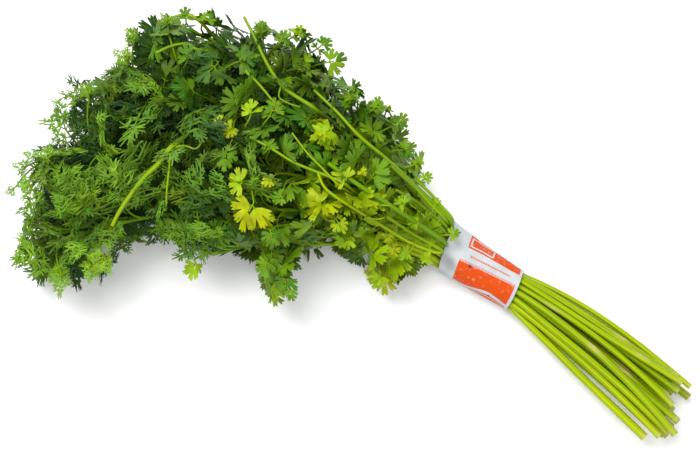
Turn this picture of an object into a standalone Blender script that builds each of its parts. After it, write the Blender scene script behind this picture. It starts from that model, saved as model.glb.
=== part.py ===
"""A bunch of fresh coriander, lying on a table in the paper wrapper that holds its stems.

Metres, +Z up. The origin is the middle of the wrapper's flat underside. +X runs along the wrapped
stems to their cut ends. The leafy head opens the other way, towards -X, and leans to -Y.
"""

import math
import random

import bmesh
import bpy
from mathutils import Matrix, Vector
from mathutils.bvhtree import BVHTree

MM = 0.001
SEED = 11

# The wrapper: a pair of values is for the head's end, then for the cut ends' end.
WRAPPER_LENGTH = 46 * MM
WRAPPER_WALL = 0.7 * MM
WRAPPER_HALF_WIDTH = (14.0 * MM, 11.9 * MM)
WRAPPER_HALF_HEIGHT = (12.8 * MM, 11.2 * MM)
WRAPPER_PRESSED_FLAT = 0.6 * MM
WRAPPER_SIDES = 32
WRAPPER_RINGS = 6
LAP_HEIGHT = 0.4 * MM
LAP_ANGLES = (math.radians(35), math.radians(80))

# The stems. A radius is the one in the wrapper, and a stem swells to its cut end and thins to its tip.
STEM_COUNT = 26
STEM_RADIUS = (1.25 * MM, 1.95 * MM)
CUT_END_SWELL = 1.3
TIP_THINNING = 0.5
GAP = 0.35 * MM
CUT_END_X = (125 * MM, 139 * MM)
CUT_END_ROUNDING = 8 * MM
CUT_END_FAN = 1.3
CUT_END_RISE = 0.38
CUT_END_SWAY = 2.2 * MM
CUT_END_LEAN = -14 * MM
CUT_END_LEAN_GROWTH = 1.6
CUT_END_FAN_GROWTH = 0.95
CUT_RUN_STEPS = 3
HEAD_STEPS = 6
HEAD_STEPS_LENGTHEN = 1.25
PACKING_PASSES = 900

# The head, as a fan of stems in polar coordinates about the wrapper's mouth.
MOUTH_X = -WRAPPER_LENGTH / 2
HEAD_REACH = 240 * MM
HEAD_BEND = math.radians(-15)
HEAD_BEND_GROWTH = 1.4
HEAD_FAN = math.radians(38)
FAN_OPENS_OVER = 55 * MM
HEAD_RISES_OVER = 42 * MM
HEAD_STEM_HEIGHT = 52 * MM
HEAD_LOWEST = 3.5 * MM
HEAD_DROOP = 0.55
HEAD_SIDE_DROOP = 0.35
FOLIAGE_ABOVE_STEMS = 17 * MM
STEM_STOPS_SHORT = 17 * MM
HEAD_SIDES = (-135 * MM, 60 * MM)
SHORT_STEM_SHARE = 0.28
LIGHT_STEM_REACH = 0.55 * HEAD_REACH

# The head's outline from above, clockwise from the wrapper's mouth, in millimetres.
HEAD_OUTLINE = [
    (-24, 14), (-38, 18), (-55, 33), (-66, 41), (-82, 47), (-101, 45), (-116, 40), (-128, 50),
    (-145, 58), (-159, 58), (-182, 43), (-205, 38), (-223, 31), (-233, 14), (-240, -17), (-250, -45),
    (-244, -64), (-252, -92), (-232, -104), (-232, -124), (-223, -141), (-203, -138), (-190, -146),
    (-174, -116), (-166, -88), (-150, -82), (-142, -89), (-131, -91), (-121, -72), (-112, -60),
    (-103, -70), (-95, -85), (-80, -82), (-85, -44), (-65, -33), (-52, -41), (-36, -44), (-35, -27),
    (-20, -16),
]

# The leaves. A pair of values is the least and the most, and sizes are tried from the largest down.
COLLAR_LEAVES = 14
COLLAR_STRETCH = (-95 * MM, -34 * MM)
HEAD_LEAVES = 108
HEAD_STRETCH = (-250 * MM, -60 * MM)
LEAVES_PER_STEM = 6
LEAF_SIZES = (1, 0.9, 0.8, 0.7)
TIP_LEAF_TRIES = 90
TIP_LEAF_RUN = (7 * MM, 14 * MM)
SIDE_LEAF_TRIES = 10
SIDE_LEAF_SWING = math.radians(80)
LEAF_TURN = math.radians(30)
LEAF_WANDER = 0.3
LEAVES_LEAN_OUT = 0.55
LEAVES_LEAN_AHEAD = 1.2
PLACES_COMPARED = 0.85
BROAD_REACH = (16 * MM, 22 * MM)
FEATHERY_REACH = (21 * MM, 28 * MM)
FEATHERY_BEYOND = (-118 * MM, -8 * MM)
FEATHERY_BLEND = 22 * MM
BLADE_THICKNESS = 1.3 * MM
BLADE_ARCH = 0.28
PETIOLE_RADIUS = (1.0 * MM, 0.55 * MM)
PETIOLE_LENGTH = (14 * MM, 40 * MM)
TABLE_DIP = 5 * MM
PETIOLE_CORNER = math.radians(168)
PETIOLE_CORNER_SHARE = 0.13

# A blade's lobes are cut to a share of its reach, and each of a lobe's teeth is
# (share of the lobe's width, share of its length).
BROAD_FORM = {
    "lobes": 3,
    "half_sweep": math.radians(134),
    "side_shorter": 0.14,
    "cut": 0.3,
    "teeth": ((-0.4, 0.74), (-0.22, 0.76), (-0.1, 0.96), (0.1, 0.96), (0.22, 0.76), (0.4, 0.74)),
}
FEATHERY_FORM = {
    "lobes": 3,
    "half_sweep": math.radians(140),
    "side_shorter": 0.22,
    "cut": 0.15,
    "teeth": (
        (-0.41, 0.66), (-0.3, 0.76), (-0.17, 0.4), (-0.06, 1), (0.06, 1),
        (0.17, 0.4), (0.3, 0.76), (0.41, 0.66),
    ),
}


def material(name, colour, roughness):
    """A plain finish of that colour."""
    made = bpy.data.materials.new(name)
    made.use_nodes = True
    shader = made.node_tree.nodes["Principled BSDF"]
    shader.inputs["Base Color"].default_value = (*colour, 1)
    shader.inputs["Roughness"].default_value = roughness
    shader.inputs["Metallic"].default_value = 0
    return made


def mix(pair, share):
    """The value at that share of the way from the first to the second of a pair."""
    return pair[0] + (pair[1] - pair[0]) * share


def wrapper_section(x):
    """Half width, half height and centre height of the wrapper's outside at x."""
    share = min(max((x - MOUTH_X) / WRAPPER_LENGTH, 0), 1)
    half_height = mix(WRAPPER_HALF_HEIGHT, share)
    return mix(WRAPPER_HALF_WIDTH, share), half_height, half_height - WRAPPER_PRESSED_FLAT


def packing_room(x):
    """Half axes of the ellipse that the stems fill at x."""
    half_width, half_height, _ = wrapper_section(x)
    return (
        half_width - WRAPPER_WALL - GAP,
        half_height - WRAPPER_WALL - WRAPPER_PRESSED_FLAT - GAP,
    )


def packed_slots(draw):
    """(y, z, radius) of each stem about the bundle's centre, where the wrapper is narrowest."""
    room_y, room_z = packing_room(WRAPPER_LENGTH / 2)
    golden_angle = math.pi * (3 - math.sqrt(5))
    slots = []
    for index in range(STEM_COUNT):
        share = math.sqrt((index + 0.5) / STEM_COUNT)
        turn = index * golden_angle
        radius = draw.uniform(*STEM_RADIUS)
        slots.append([room_y * share * math.cos(turn), room_z * share * math.sin(turn), radius])
    for _ in range(PACKING_PASSES):
        for i, one in enumerate(slots):
            for other in slots[i + 1:]:
                apart = Vector((one[0] - other[0], one[1] - other[1]))
                push = (one[2] + other[2] + GAP - apart.length) / 2
                if push > 0:
                    step = apart.normalized() * push
                    one[0] += step.x
                    one[1] += step.y
                    other[0] -= step.x
                    other[1] -= step.y
        for one in slots:
            reach = math.hypot(one[0] / (room_y - one[2]), one[1] / (room_z - one[2]))
            if reach > 1:
                one[0] /= reach
                one[1] /= reach
    return slots


def inside_outline(x, y):
    """Whether a point lies in the head's outline, seen from above."""
    inside = False
    previous = HEAD_OUTLINE[-1]
    for corner in HEAD_OUTLINE:
        (x1, y1), (x2, y2) = previous, corner
        if (y1 * MM > y) != (y2 * MM > y) and x < (x2 + (y / MM - y2) * (x1 - x2) / (y1 - y2)) * MM:
            inside = not inside
        previous = corner
    return inside


def fan_angle(across, reach):
    """Direction in the head of what starts at that share across the mouth, at a distance from it."""
    opened = 1 - math.exp(-reach / FAN_OPENS_OVER)
    return HEAD_BEND * (reach / HEAD_REACH) ** HEAD_BEND_GROWTH + across * HEAD_FAN * opened


def fan_share(x, y):
    """The share across the mouth, -1 to 1, of the fan line that passes over a point of the head."""
    reach = math.hypot(x - MOUTH_X, y)
    angle = math.atan2(y, MOUTH_X - x)
    opened = 1 - math.exp(-reach / FAN_OPENS_OVER) + 0.08
    return (angle - HEAD_BEND * (reach / HEAD_REACH) ** HEAD_BEND_GROWTH) / (HEAD_FAN * opened)


def fan_height(across, up, reach):
    """Height in the head at a share across, a share up from -1 to 1, and a distance from the mouth."""
    room_z = packing_room(MOUTH_X)[1]
    mouth_height = wrapper_section(MOUTH_X)[2] + up * room_z
    risen = 1 - math.exp(-reach / HEAD_RISES_OVER)
    dome = (1 - HEAD_SIDE_DROOP * across**2) * (1 - HEAD_DROOP * (reach / HEAD_REACH) ** 2)
    height = HEAD_LOWEST + (up + 1) / 2 * HEAD_STEM_HEIGHT * dome
    return mix((mouth_height, height), risen)


class Stem:
    """One stem: its route from the cut end to the tip, and its leaves."""

    def __init__(self, index, slot, draw):
        self.name = f"leafy_stem_{index + 1:02d}"
        self.slot_y, self.slot_z, self.radius = slot
        room_y, room_z = packing_room(WRAPPER_LENGTH / 2)
        self.across = self.slot_y / room_y
        self.up = self.slot_z / room_z
        self.cut_x = draw.uniform(*CUT_END_X) - CUT_END_ROUNDING * self.across**2
        self.sway = draw.uniform(-1, 1) * CUT_END_SWAY
        self.tip_share = 1 - SHORT_STEM_SHARE * draw.random() ** 2
        self.tip_reach = self.reach_to_outline() * self.tip_share
        self.leaves = []

    def bundle_point(self, x):
        """Where the stem is at x, in the wrapper or between it and the cut end."""
        narrow = WRAPPER_LENGTH / 2
        room, narrow_room = packing_room(x), packing_room(narrow)
        past = max(x - narrow, 0) / (CUT_END_X[1] - narrow)
        spread = room[0] / narrow_room[0] + CUT_END_FAN * past**CUT_END_FAN_GROWTH
        above_lowest = (self.slot_z + narrow_room[1]) * room[1] / narrow_room[1]
        settle = (WRAPPER_WALL + GAP) * past
        return Vector((
            x,
            self.slot_y * spread + CUT_END_LEAN * past**CUT_END_LEAN_GROWTH + self.sway * past**2,
            wrapper_section(x)[2] - room[1] + above_lowest * (1 + CUT_END_RISE * past) - settle,
        ))

    def head_point(self, reach):
        """Where the stem is at a distance from the wrapper's mouth."""
        mouth = self.bundle_point(MOUTH_X)
        angle = fan_angle(self.across, reach)
        return Vector((
            MOUTH_X - reach * math.cos(angle),
            mouth.y + reach * math.sin(angle),
            fan_height(self.across, self.up, reach),
        ))

    def reach_to_outline(self):
        """How far the stem can run before it is near the head's outline."""
        reach = 30 * MM
        while reach < HEAD_REACH:
            ahead = self.head_point(reach + STEM_STOPS_SHORT)
            if not inside_outline(ahead.x, ahead.y):
                break
            reach += 2 * MM
        return reach

    def route(self):
        """Points from the cut end to the tip, and the radius at each."""
        narrow = WRAPPER_LENGTH / 2
        points = [
            self.bundle_point(mix((self.cut_x, narrow), step / CUT_RUN_STEPS))
            for step in range(CUT_RUN_STEPS + 1)
        ]
        radii = [
            self.radius * mix((CUT_END_SWELL, 1), step / CUT_RUN_STEPS)
            for step in range(CUT_RUN_STEPS + 1)
        ]
        for step in range(HEAD_STEPS + 1):
            share = (step / HEAD_STEPS) ** HEAD_STEPS_LENGTHEN
            points.append(self.head_point(self.tip_reach * share))
            radii.append(self.radius * mix((1, TIP_THINNING), share))
        return points, radii

    def direction(self, reach):
        """The stem's direction, towards its tip, at a distance from the mouth."""
        return (self.head_point(reach + MM) - self.head_point(reach - MM)).normalized()


class Leaf:
    """One leaf: the way that its petiole runs, and where and how its blade is set."""

    def __init__(self, petiole, radii, forward, normal, reach, feathery):
        self.petiole, self.petiole_radii = petiole, radii
        self.centre = petiole[-1]
        self.forward, self.normal = forward, normal
        self.side = normal.cross(forward)
        self.reach, self.feathery = reach, feathery
        self.lowest = 0.0

    def place(self, ahead, aside, above):
        """A point of the blade's own frame in the bunch's, no lower than the table."""
        point = self.centre + self.forward * ahead + self.side * aside + self.normal * above
        self.lowest = min(self.lowest, point.z)
        return Vector((point.x, point.y, max(point.z, 0)))

    def blade_points(self):
        """The rim's points, then the middle of the upper and of the lower face."""
        rim = []
        for angle, share in blade_rim(self.feathery):
            ahead = math.cos(angle) * share * self.reach
            aside = math.sin(angle) * share * self.reach
            rim.append(self.place(ahead, aside, -BLADE_ARCH * share**2 * self.reach))
        middle = [self.place(0, 0, BLADE_THICKNESS / 2), self.place(0, 0, -BLADE_THICKNESS / 2)]
        return rim, middle


def blade_rim(feathery):
    """Rim of a blade as (angle from its axis, share of its reach), once round from the petiole."""
    form = FEATHERY_FORM if feathery else BROAD_FORM
    lobes, half_sweep, cut = form["lobes"], form["half_sweep"], form["cut"]
    width = 2 * half_sweep / lobes
    rim = [(-PETIOLE_CORNER, PETIOLE_CORNER_SHARE)]
    for lobe in range(lobes):
        middle = half_sweep * ((2 * lobe + 1) / lobes - 1)
        length = 1 - form["side_shorter"] * (abs(middle) / half_sweep) ** 1.5
        for offset, share in form["teeth"]:
            rim.append((middle + offset * width, share * length))
        if lobe < lobes - 1:
            rim.append((middle + width / 2, cut))
    rim.append((PETIOLE_CORNER, PETIOLE_CORNER_SHARE))
    return rim


def tube_faces(points, radii, sides):
    """Corners and faces of a many-sided tube along points, to test what it would touch."""
    corners, faces = [], []
    for index, point in enumerate(points):
        ahead = points[min(index + 1, len(points) - 1)] - points[max(index - 1, 0)]
        side = ahead.cross(Vector((0, 0, 1))).normalized()
        over = side.cross(ahead).normalized()
        for corner in range(sides):
            turn = 2 * math.pi * corner / sides
            offset = side * math.cos(turn) + over * math.sin(turn)
            corners.append(point + offset * (radii[index] + GAP))
    for ring in range(len(points) - 1):
        for corner in range(sides):
            a = ring * sides + corner
            b = ring * sides + (corner + 1) % sides
            faces.append((a, b, b + sides, a + sides))
    return corners, faces


def blade_faces(leaf):
    """Corners and faces of a leaf's blade."""
    rim, middle = leaf.blade_points()
    count = len(rim)
    faces = [(i, (i + 1) % count, count) for i in range(count)]
    faces += [((i + 1) % count, i, count + 1) for i in range(count)]
    return rim + middle, faces


class Room:
    """What is already in the head, to keep each leaf clear of the other stems and of each blade."""

    def __init__(self):
        self.taken = []

    @staticmethod
    def shape(corners, faces):
        low = Vector(map(min, *corners))
        high = Vector(map(max, *corners))
        return low, high, BVHTree.FromPolygons(corners, faces)

    def add(self, owner, corners, faces):
        self.taken.append((owner, *self.shape(corners, faces)))

    def is_clear(self, corners, faces, skip=None):
        """Whether a shape crosses nothing that is there, apart from the owner to skip."""
        low, high, tree = self.shape(corners, faces)
        for owner, other_low, other_high, other in self.taken:
            if owner is skip:
                continue
            apart = any(low[k] > other_high[k] or high[k] < other_low[k] for k in range(3))
            if not apart and tree.overlap(other):
                return False
        return True


def curved_petiole(start, leaving, end):
    """Three points of a petiole that leaves its stem along it and curves to its leaf."""
    span = (end - start).length
    bend = start + leaving * span * 0.5 + Vector((0, 0, span * 0.08))
    middle = start * 0.25 + bend * 0.5 + end * 0.25
    return [start, middle, end], (end - bend).normalized()


def is_feathery(point, blend):
    """Whether a leaf there is one of the head's feathery ones, which are far out on its -Y side."""
    return point.x + blend < FEATHERY_BEYOND[0] and point.y + blend < FEATHERY_BEYOND[1]


def set_leaf(draw, petiole, arriving, upward, size=1):
    """A leaf at the petiole's end, or nothing where its blade can't face the right way."""
    radii = [mix(PETIOLE_RADIUS, step / (len(petiole) - 1)) for step in range(len(petiole))]
    feathery = is_feathery(petiole[-1], draw.uniform(-1, 1) * FEATHERY_BLEND)
    reach = size * draw.uniform(*(FEATHERY_REACH if feathery else BROAD_REACH))
    turned = Matrix.Rotation(draw.uniform(-1, 1) * LEAF_TURN, 3, upward) @ arriving
    normal = upward - turned * upward.dot(turned)
    if normal.length < 0.5:
        return None
    return Leaf(petiole, radii, turned.normalized(), normal.normalized(), reach, feathery)


def facing(draw, point):
    """The way that a leaf at a point faces: up, and outwards near the head's sides."""
    across = fan_share(point.x, point.y)
    outward = Vector((0, across, 0)) * LEAVES_LEAN_OUT
    far = max(0, (MOUTH_X - point.x) / HEAD_REACH - 0.6)
    wander = Vector((draw.gauss(0, 1), draw.gauss(0, 1), draw.gauss(0, 0.4))) * LEAF_WANDER
    return (Vector((-LEAVES_LEAN_AHEAD * far, 0, 1)) + outward + wander).normalized()


def top_height(x, y):
    """Height of the foliage's upper surface over a point of the table."""
    across = min(max(fan_share(x, y), -1.25), 1.25)
    reach = math.hypot(x - MOUTH_X, y)
    return fan_height(across, 1, reach) + FOLIAGE_ABOVE_STEMS * min(reach / (60 * MM), 1)


def fits(room, leaf, stem):
    """Whether a leaf stays in the head and crosses nothing but its own stem's petiole root."""
    blade = blade_faces(leaf)
    ends = [leaf.place(0.95 * leaf.reach, 0, 0)]
    ends += [leaf.place(0.3 * leaf.reach, side * 0.75 * leaf.reach, 0) for side in (-1, 1)]
    if leaf.lowest < -TABLE_DIP or not all(inside_outline(end.x, end.y) for end in ends):
        return False
    if not room.is_clear(*blade):
        return False
    sides = 4
    return room.is_clear(*tube_faces(leaf.petiole, leaf.petiole_radii, sides), skip=stem)


def keep(room, leaf, stem):
    """Adds a leaf to its stem, and to what is taken."""
    stem.leaves.append(leaf)
    room.add(leaf, *blade_faces(leaf))
    sides = 4
    room.add(stem, *tube_faces(leaf.petiole, leaf.petiole_radii, sides))


def grow_tip_leaf(room, stem, draw):
    """The leaf that ends a stem, on a last short run in line with it."""
    for attempt in range(TIP_LEAF_TRIES):
        tip = stem.head_point(stem.tip_reach)
        ahead = stem.direction(stem.tip_reach)
        swing = Vector((draw.uniform(-1, 1), draw.uniform(-1, 1), draw.uniform(-0.6, 0.8))) * 0.5
        end = tip + (ahead + swing).normalized() * draw.uniform(*TIP_LEAF_RUN)
        end.z = max(end.z, 2 * MM)
        petiole, arriving = curved_petiole(tip - ahead * 2 * MM, ahead, end)
        size = LEAF_SIZES[attempt * len(LEAF_SIZES) // TIP_LEAF_TRIES]
        leaf = set_leaf(draw, petiole, arriving, facing(draw, end), size)
        if leaf and fits(room, leaf, stem):
            keep(room, leaf, stem)
            return


def open_place(draw, taken, stretch):
    """A point of the head that is far from the leaves already set, of a handful drawn."""
    best, most = None, -1
    while best is None or draw.random() < PLACES_COMPARED:
        x = draw.uniform(*stretch)
        y = draw.uniform(*HEAD_SIDES)
        if not inside_outline(x, y):
            continue
        top = top_height(x, y)
        share = 1 - 0.9 * draw.random() ** 1.3
        point = Vector((x, y, max(top * share, 2 * MM)))
        clear = min((point - other).length for other in taken)
        if clear > most:
            best, most = point, clear
    return best


def roots_for(stems, end):
    """(stem, distance along it) pairs that a petiole to a point could spring from, best first."""
    found = []
    for stem in stems:
        if len(stem.leaves) > LEAVES_PER_STEM:
            continue
        reach = 12 * MM
        while reach < stem.tip_reach - 6 * MM:
            away = end - stem.head_point(reach)
            if PETIOLE_LENGTH[0] < away.length < PETIOLE_LENGTH[1]:
                turn = away.angle(stem.direction(reach))
                if turn < SIDE_LEAF_SWING:
                    cost = away.length / MM + 12 * turn + 2.5 * len(stem.leaves)
                    found.append((cost, stem.name, stem, reach))
            reach += 6 * MM
    return [(stem, reach) for _, _, stem, reach in sorted(found, key=lambda entry: entry[:2])[:6]]


def grow_side_leaf(room, stems, draw, end):
    """Whether a leaf could be grown with its middle at a point, from any stem and at any size."""
    for stem, reach in roots_for(stems, end):
        petiole, arriving = curved_petiole(stem.head_point(reach), stem.direction(reach), end)
        for size in LEAF_SIZES:
            leaf = set_leaf(draw, petiole, arriving, facing(draw, end), size)
            if leaf and fits(room, leaf, stem):
                keep(room, leaf, stem)
                return True
    return False


def grow_side_leaves(room, stems, draw, count, stretch):
    """Leaves along the stems, set where that stretch of the head is still open."""
    taken = [leaf.centre for stem in stems for leaf in stem.leaves]
    tries = count * SIDE_LEAF_TRIES
    while count and tries:
        tries -= 1
        end = open_place(draw, taken, stretch)
        if grow_side_leaf(room, stems, draw, end):
            taken.append(end)
            count -= 1


def grown_bunch():
    """The stems of the bunch, each with its leaves, and the room that they take."""
    draw = random.Random(SEED)
    stems = [Stem(index, slot, draw) for index, slot in enumerate(packed_slots(draw))]
    room = Room()
    for stem in stems:
        points, radii = stem.route()
        room.add(stem, *tube_faces(points, radii, 6))
    for stem in stems:
        grow_tip_leaf(room, stem, draw)
    grow_side_leaves(room, stems, draw, COLLAR_LEAVES, COLLAR_STRETCH)
    grow_side_leaves(room, stems, draw, HEAD_LEAVES, HEAD_STRETCH)
    return stems, room


def tube_object(name, points, radii, bevel_resolution):
    """A closed mesh tube along points, from a bevelled curve."""
    curve = bpy.data.curves.new(name, "CURVE")
    curve.dimensions = "3D"
    curve.bevel_depth = 1
    curve.bevel_resolution = bevel_resolution
    curve.use_fill_caps = True
    spline = curve.splines.new("POLY")
    spline.points.add(len(points) - 1)
    for spot, point, radius in zip(spline.points, points, radii):
        spot.co = (*point, 1)
        spot.radius = radius
    guide = bpy.data.objects.new(name + "_curve", curve)
    bpy.context.scene.collection.objects.link(guide)
    graph = bpy.context.evaluated_depsgraph_get()
    mesh = bpy.data.meshes.new_from_object(guide.evaluated_get(graph))
    bpy.data.objects.remove(guide)
    welded = bmesh.new()
    welded.from_mesh(mesh)
    bmesh.ops.remove_doubles(welded, verts=welded.verts, dist=0.01 * MM)
    bmesh.ops.recalc_face_normals(welded, faces=welded.faces)
    welded.to_mesh(mesh)
    welded.free()
    return bpy.data.objects.new(name, mesh)


def blade_object(name, leaf):
    """A leaf's blade: a flat double cone whose equator is drawn out to the cut rim."""
    rim, middle = leaf.blade_points()
    shape = bmesh.new()
    bmesh.ops.create_uvsphere(shape, u_segments=len(rim), v_segments=2, radius=1)
    equator = [vertex for vertex in shape.verts if abs(vertex.co.z) < 0.5]
    equator.sort(key=lambda vertex: math.atan2(vertex.co.y, vertex.co.x))
    for vertex, point in zip(equator, rim):
        vertex.co = point
    for vertex in shape.verts:
        if vertex not in equator:
            vertex.co = middle[0] if vertex.co.z > 0 else middle[1]
    bmesh.ops.recalc_face_normals(shape, faces=shape.faces)
    mesh = bpy.data.meshes.new(name)
    shape.to_mesh(mesh)
    shape.free()
    return bpy.data.objects.new(name, mesh)


def keep_main_body(mesh):
    """Drops the loose scraps and fills the sealed hollows that a union can leave."""
    shape = bmesh.new()
    shape.from_mesh(mesh)
    waiting, largest = set(shape.verts), []
    while waiting:
        body, edge_of_search = [], [waiting.pop()]
        while edge_of_search:
            vertex = edge_of_search.pop()
            body.append(vertex)
            for edge in vertex.link_edges:
                other = edge.other_vert(vertex)
                if other in waiting:
                    waiting.remove(other)
                    edge_of_search.append(other)
        largest = max(largest, body, key=len)
    kept = set(largest)
    loose = [vertex for vertex in shape.verts if vertex not in kept]
    bmesh.ops.delete(shape, geom=loose, context="VERTS")
    shape.to_mesh(mesh)
    shape.free()


def leafy_stem_object(stem, collection, green):
    """A stem with its petioles and blades, joined into one body."""
    points, radii = stem.route()
    body = tube_object(stem.name, points, radii, 1)
    collection.objects.link(body)
    grafts = bpy.data.collections.new(stem.name + "_leaves")
    bpy.context.scene.collection.children.link(grafts)
    for number, leaf in enumerate(stem.leaves):
        petiole = tube_object(f"petiole_{number}", leaf.petiole, leaf.petiole_radii, 0)
        grafts.objects.link(petiole)
        grafts.objects.link(blade_object(f"blade_{number}", leaf))
    if stem.leaves:
        union = body.modifiers.new("join_leaves", "BOOLEAN")
        union.operation = "UNION"
        union.operand_type = "COLLECTION"
        union.collection = grafts
        union.solver = "MANIFOLD"
        graph = bpy.context.evaluated_depsgraph_get()
        joined = bpy.data.meshes.new_from_object(body.evaluated_get(graph))
        body.modifiers.clear()
        body.data = joined
        keep_main_body(joined)
    for graft in list(grafts.objects):
        bpy.data.objects.remove(graft)
    bpy.data.collections.remove(grafts)
    body.data.materials.clear()
    body.data.materials.append(green)
    return body


def wrapper_object(collection, paper):
    """The paper sleeve: a pressed, tapering tube with a lapped edge along its length."""
    shape = bmesh.new()
    bmesh.ops.create_grid(shape, x_segments=WRAPPER_RINGS, y_segments=WRAPPER_SIDES, size=0.5)
    for vertex in shape.verts:
        x = MOUTH_X + (vertex.co.x + 0.5) * WRAPPER_LENGTH
        turn = 2 * math.pi * vertex.co.y
        half_width, half_height, centre = wrapper_section(x)
        height = max(centre - half_height * math.cos(turn), 0)
        vertex.co = (x, half_width * math.sin(turn), height)
    bmesh.ops.remove_doubles(shape, verts=shape.verts, dist=0.01 * MM)
    bmesh.ops.recalc_face_normals(shape, faces=shape.faces)
    mesh = bpy.data.meshes.new("wrapper")
    shape.to_mesh(mesh)
    shape.free()
    wrapper = bpy.data.objects.new("wrapper", mesh)
    collection.objects.link(wrapper)
    wall = wrapper.modifiers.new("wall", "SOLIDIFY")
    wall.thickness = WRAPPER_WALL
    wall.offset = -1
    graph = bpy.context.evaluated_depsgraph_get()
    walled = bpy.data.meshes.new_from_object(wrapper.evaluated_get(graph))
    wrapper.modifiers.clear()
    wrapper.data = walled
    raise_lap(walled)
    walled.materials.clear()
    walled.materials.append(paper)
    return wrapper


def raise_lap(mesh):
    """Lifts the outside over the strip where the paper's end lies on its beginning."""
    for vertex in mesh.vertices:
        half_width, half_height, centre = wrapper_section(vertex.co.x)
        turn = math.atan2(vertex.co.y / half_width, (centre - vertex.co.z) / half_height)
        out = math.hypot(vertex.co.y / half_width, (centre - vertex.co.z) / half_height)
        if LAP_ANGLES[0] < turn < LAP_ANGLES[1] and out > 0.99:
            outward = Vector((0, vertex.co.y, vertex.co.z - centre)).normalized()
            vertex.co += outward * LAP_HEIGHT


def main():
    for old in list(bpy.data.objects):
        bpy.data.objects.remove(old)
    collection = bpy.data.collections.new("coriander_bunch")
    bpy.context.scene.collection.children.link(collection)
    dark_green = material("dark_leaf_green", (0.035, 0.13, 0.02), 0.6)
    light_green = material("light_leaf_green", (0.16, 0.32, 0.02), 0.55)
    paper = material("wrapper_paper", (0.8, 0.8, 0.78), 0.5)
    stems, _ = grown_bunch()
    for stem in stems:
        green = light_green if stem.tip_reach < LIGHT_STEM_REACH else dark_green
        leafy_stem_object(stem, collection, green)
    wrapper_object(collection, paper)


main()
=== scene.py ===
"""Looks of a bunch of fresh coriander that lies on a table, in the paper wrapper that holds it.

Metres, +Z up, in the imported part's own frame: the origin is the middle of the wrapper's flat
underside, and +X runs along the wrapped stems to their cut ends.

The first half grows the bunch by the same rule, from the same seed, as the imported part, so that
each fine stem and leaf stands where its plain one does. The second half models the leaflets, the
stem and the wrapper, lays copies of them along that growth, and gives them their finishes.
"""

import math
import random

import bpy
import numpy
from bpy.props import FloatProperty, FloatVectorProperty, IntProperty, PointerProperty
from mathutils import Matrix, Vector
from mathutils.bvhtree import BVHTree


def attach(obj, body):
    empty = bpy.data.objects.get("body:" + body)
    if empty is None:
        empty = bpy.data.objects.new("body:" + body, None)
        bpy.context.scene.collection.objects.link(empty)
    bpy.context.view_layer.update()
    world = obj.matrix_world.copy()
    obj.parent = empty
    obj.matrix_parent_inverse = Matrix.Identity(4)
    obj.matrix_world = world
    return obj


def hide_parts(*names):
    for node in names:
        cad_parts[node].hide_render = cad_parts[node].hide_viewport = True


bl_info = {
    "name": "Coriander bunch looks",
    "version": (1, 0, 0),
    "blender": (4, 5, 0),
    "location": "3D View > Sidebar > Coriander",
    "description": "Fine stems, leaves and wrapper for a bunch of fresh coriander",
    "category": "Object",
}

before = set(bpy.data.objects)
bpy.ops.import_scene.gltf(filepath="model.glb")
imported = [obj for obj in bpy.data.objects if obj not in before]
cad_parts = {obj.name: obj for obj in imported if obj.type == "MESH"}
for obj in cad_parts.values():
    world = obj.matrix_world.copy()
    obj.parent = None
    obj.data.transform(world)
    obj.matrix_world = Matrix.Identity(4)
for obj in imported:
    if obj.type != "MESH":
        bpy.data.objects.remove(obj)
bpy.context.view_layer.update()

MM = 0.001
SEED = 11

# The wrapper: a pair of values is for the head's end, then for the cut ends' end.
WRAPPER_LENGTH = 46 * MM
WRAPPER_WALL = 0.7 * MM
WRAPPER_HALF_WIDTH = (14.0 * MM, 11.9 * MM)
WRAPPER_HALF_HEIGHT = (12.8 * MM, 11.2 * MM)
WRAPPER_PRESSED_FLAT = 0.6 * MM
LAP_HEIGHT = 0.4 * MM
LAP_ANGLES = (math.radians(35), math.radians(80))

# The stems. A radius is the one in the wrapper, and a stem swells to its cut end and thins to its tip.
STEM_COUNT = 26
STEM_RADIUS = (1.25 * MM, 1.95 * MM)
CUT_END_SWELL = 1.3
TIP_THINNING = 0.5
GAP = 0.35 * MM
CUT_END_X = (125 * MM, 139 * MM)
CUT_END_ROUNDING = 8 * MM
CUT_END_FAN = 1.3
CUT_END_RISE = 0.38
CUT_END_SWAY = 2.2 * MM
CUT_END_LEAN = -14 * MM
CUT_END_LEAN_GROWTH = 1.6
CUT_END_FAN_GROWTH = 0.95
CUT_RUN_STEPS = 3
HEAD_STEPS = 6
HEAD_STEPS_LENGTHEN = 1.25
PACKING_PASSES = 900

# The head, as a fan of stems in polar coordinates about the wrapper's mouth.
MOUTH_X = -WRAPPER_LENGTH / 2
HEAD_REACH = 240 * MM
HEAD_BEND = math.radians(-15)
HEAD_BEND_GROWTH = 1.4
HEAD_FAN = math.radians(38)
FAN_OPENS_OVER = 55 * MM
HEAD_RISES_OVER = 42 * MM
HEAD_STEM_HEIGHT = 52 * MM
HEAD_LOWEST = 3.5 * MM
HEAD_DROOP = 0.55
HEAD_SIDE_DROOP = 0.35
FOLIAGE_ABOVE_STEMS = 17 * MM
STEM_STOPS_SHORT = 17 * MM
HEAD_SIDES = (-135 * MM, 60 * MM)
FAN_SOFTENING = 0.08
WIDEST_SHARE = 1.25
FOLIAGE_THICKENS_OVER = 60 * MM
STEM_GROWS_FROM, STEM_GROWS_BY = 30 * MM, 2 * MM
SHORT_STEM_SHARE = 0.28

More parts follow.
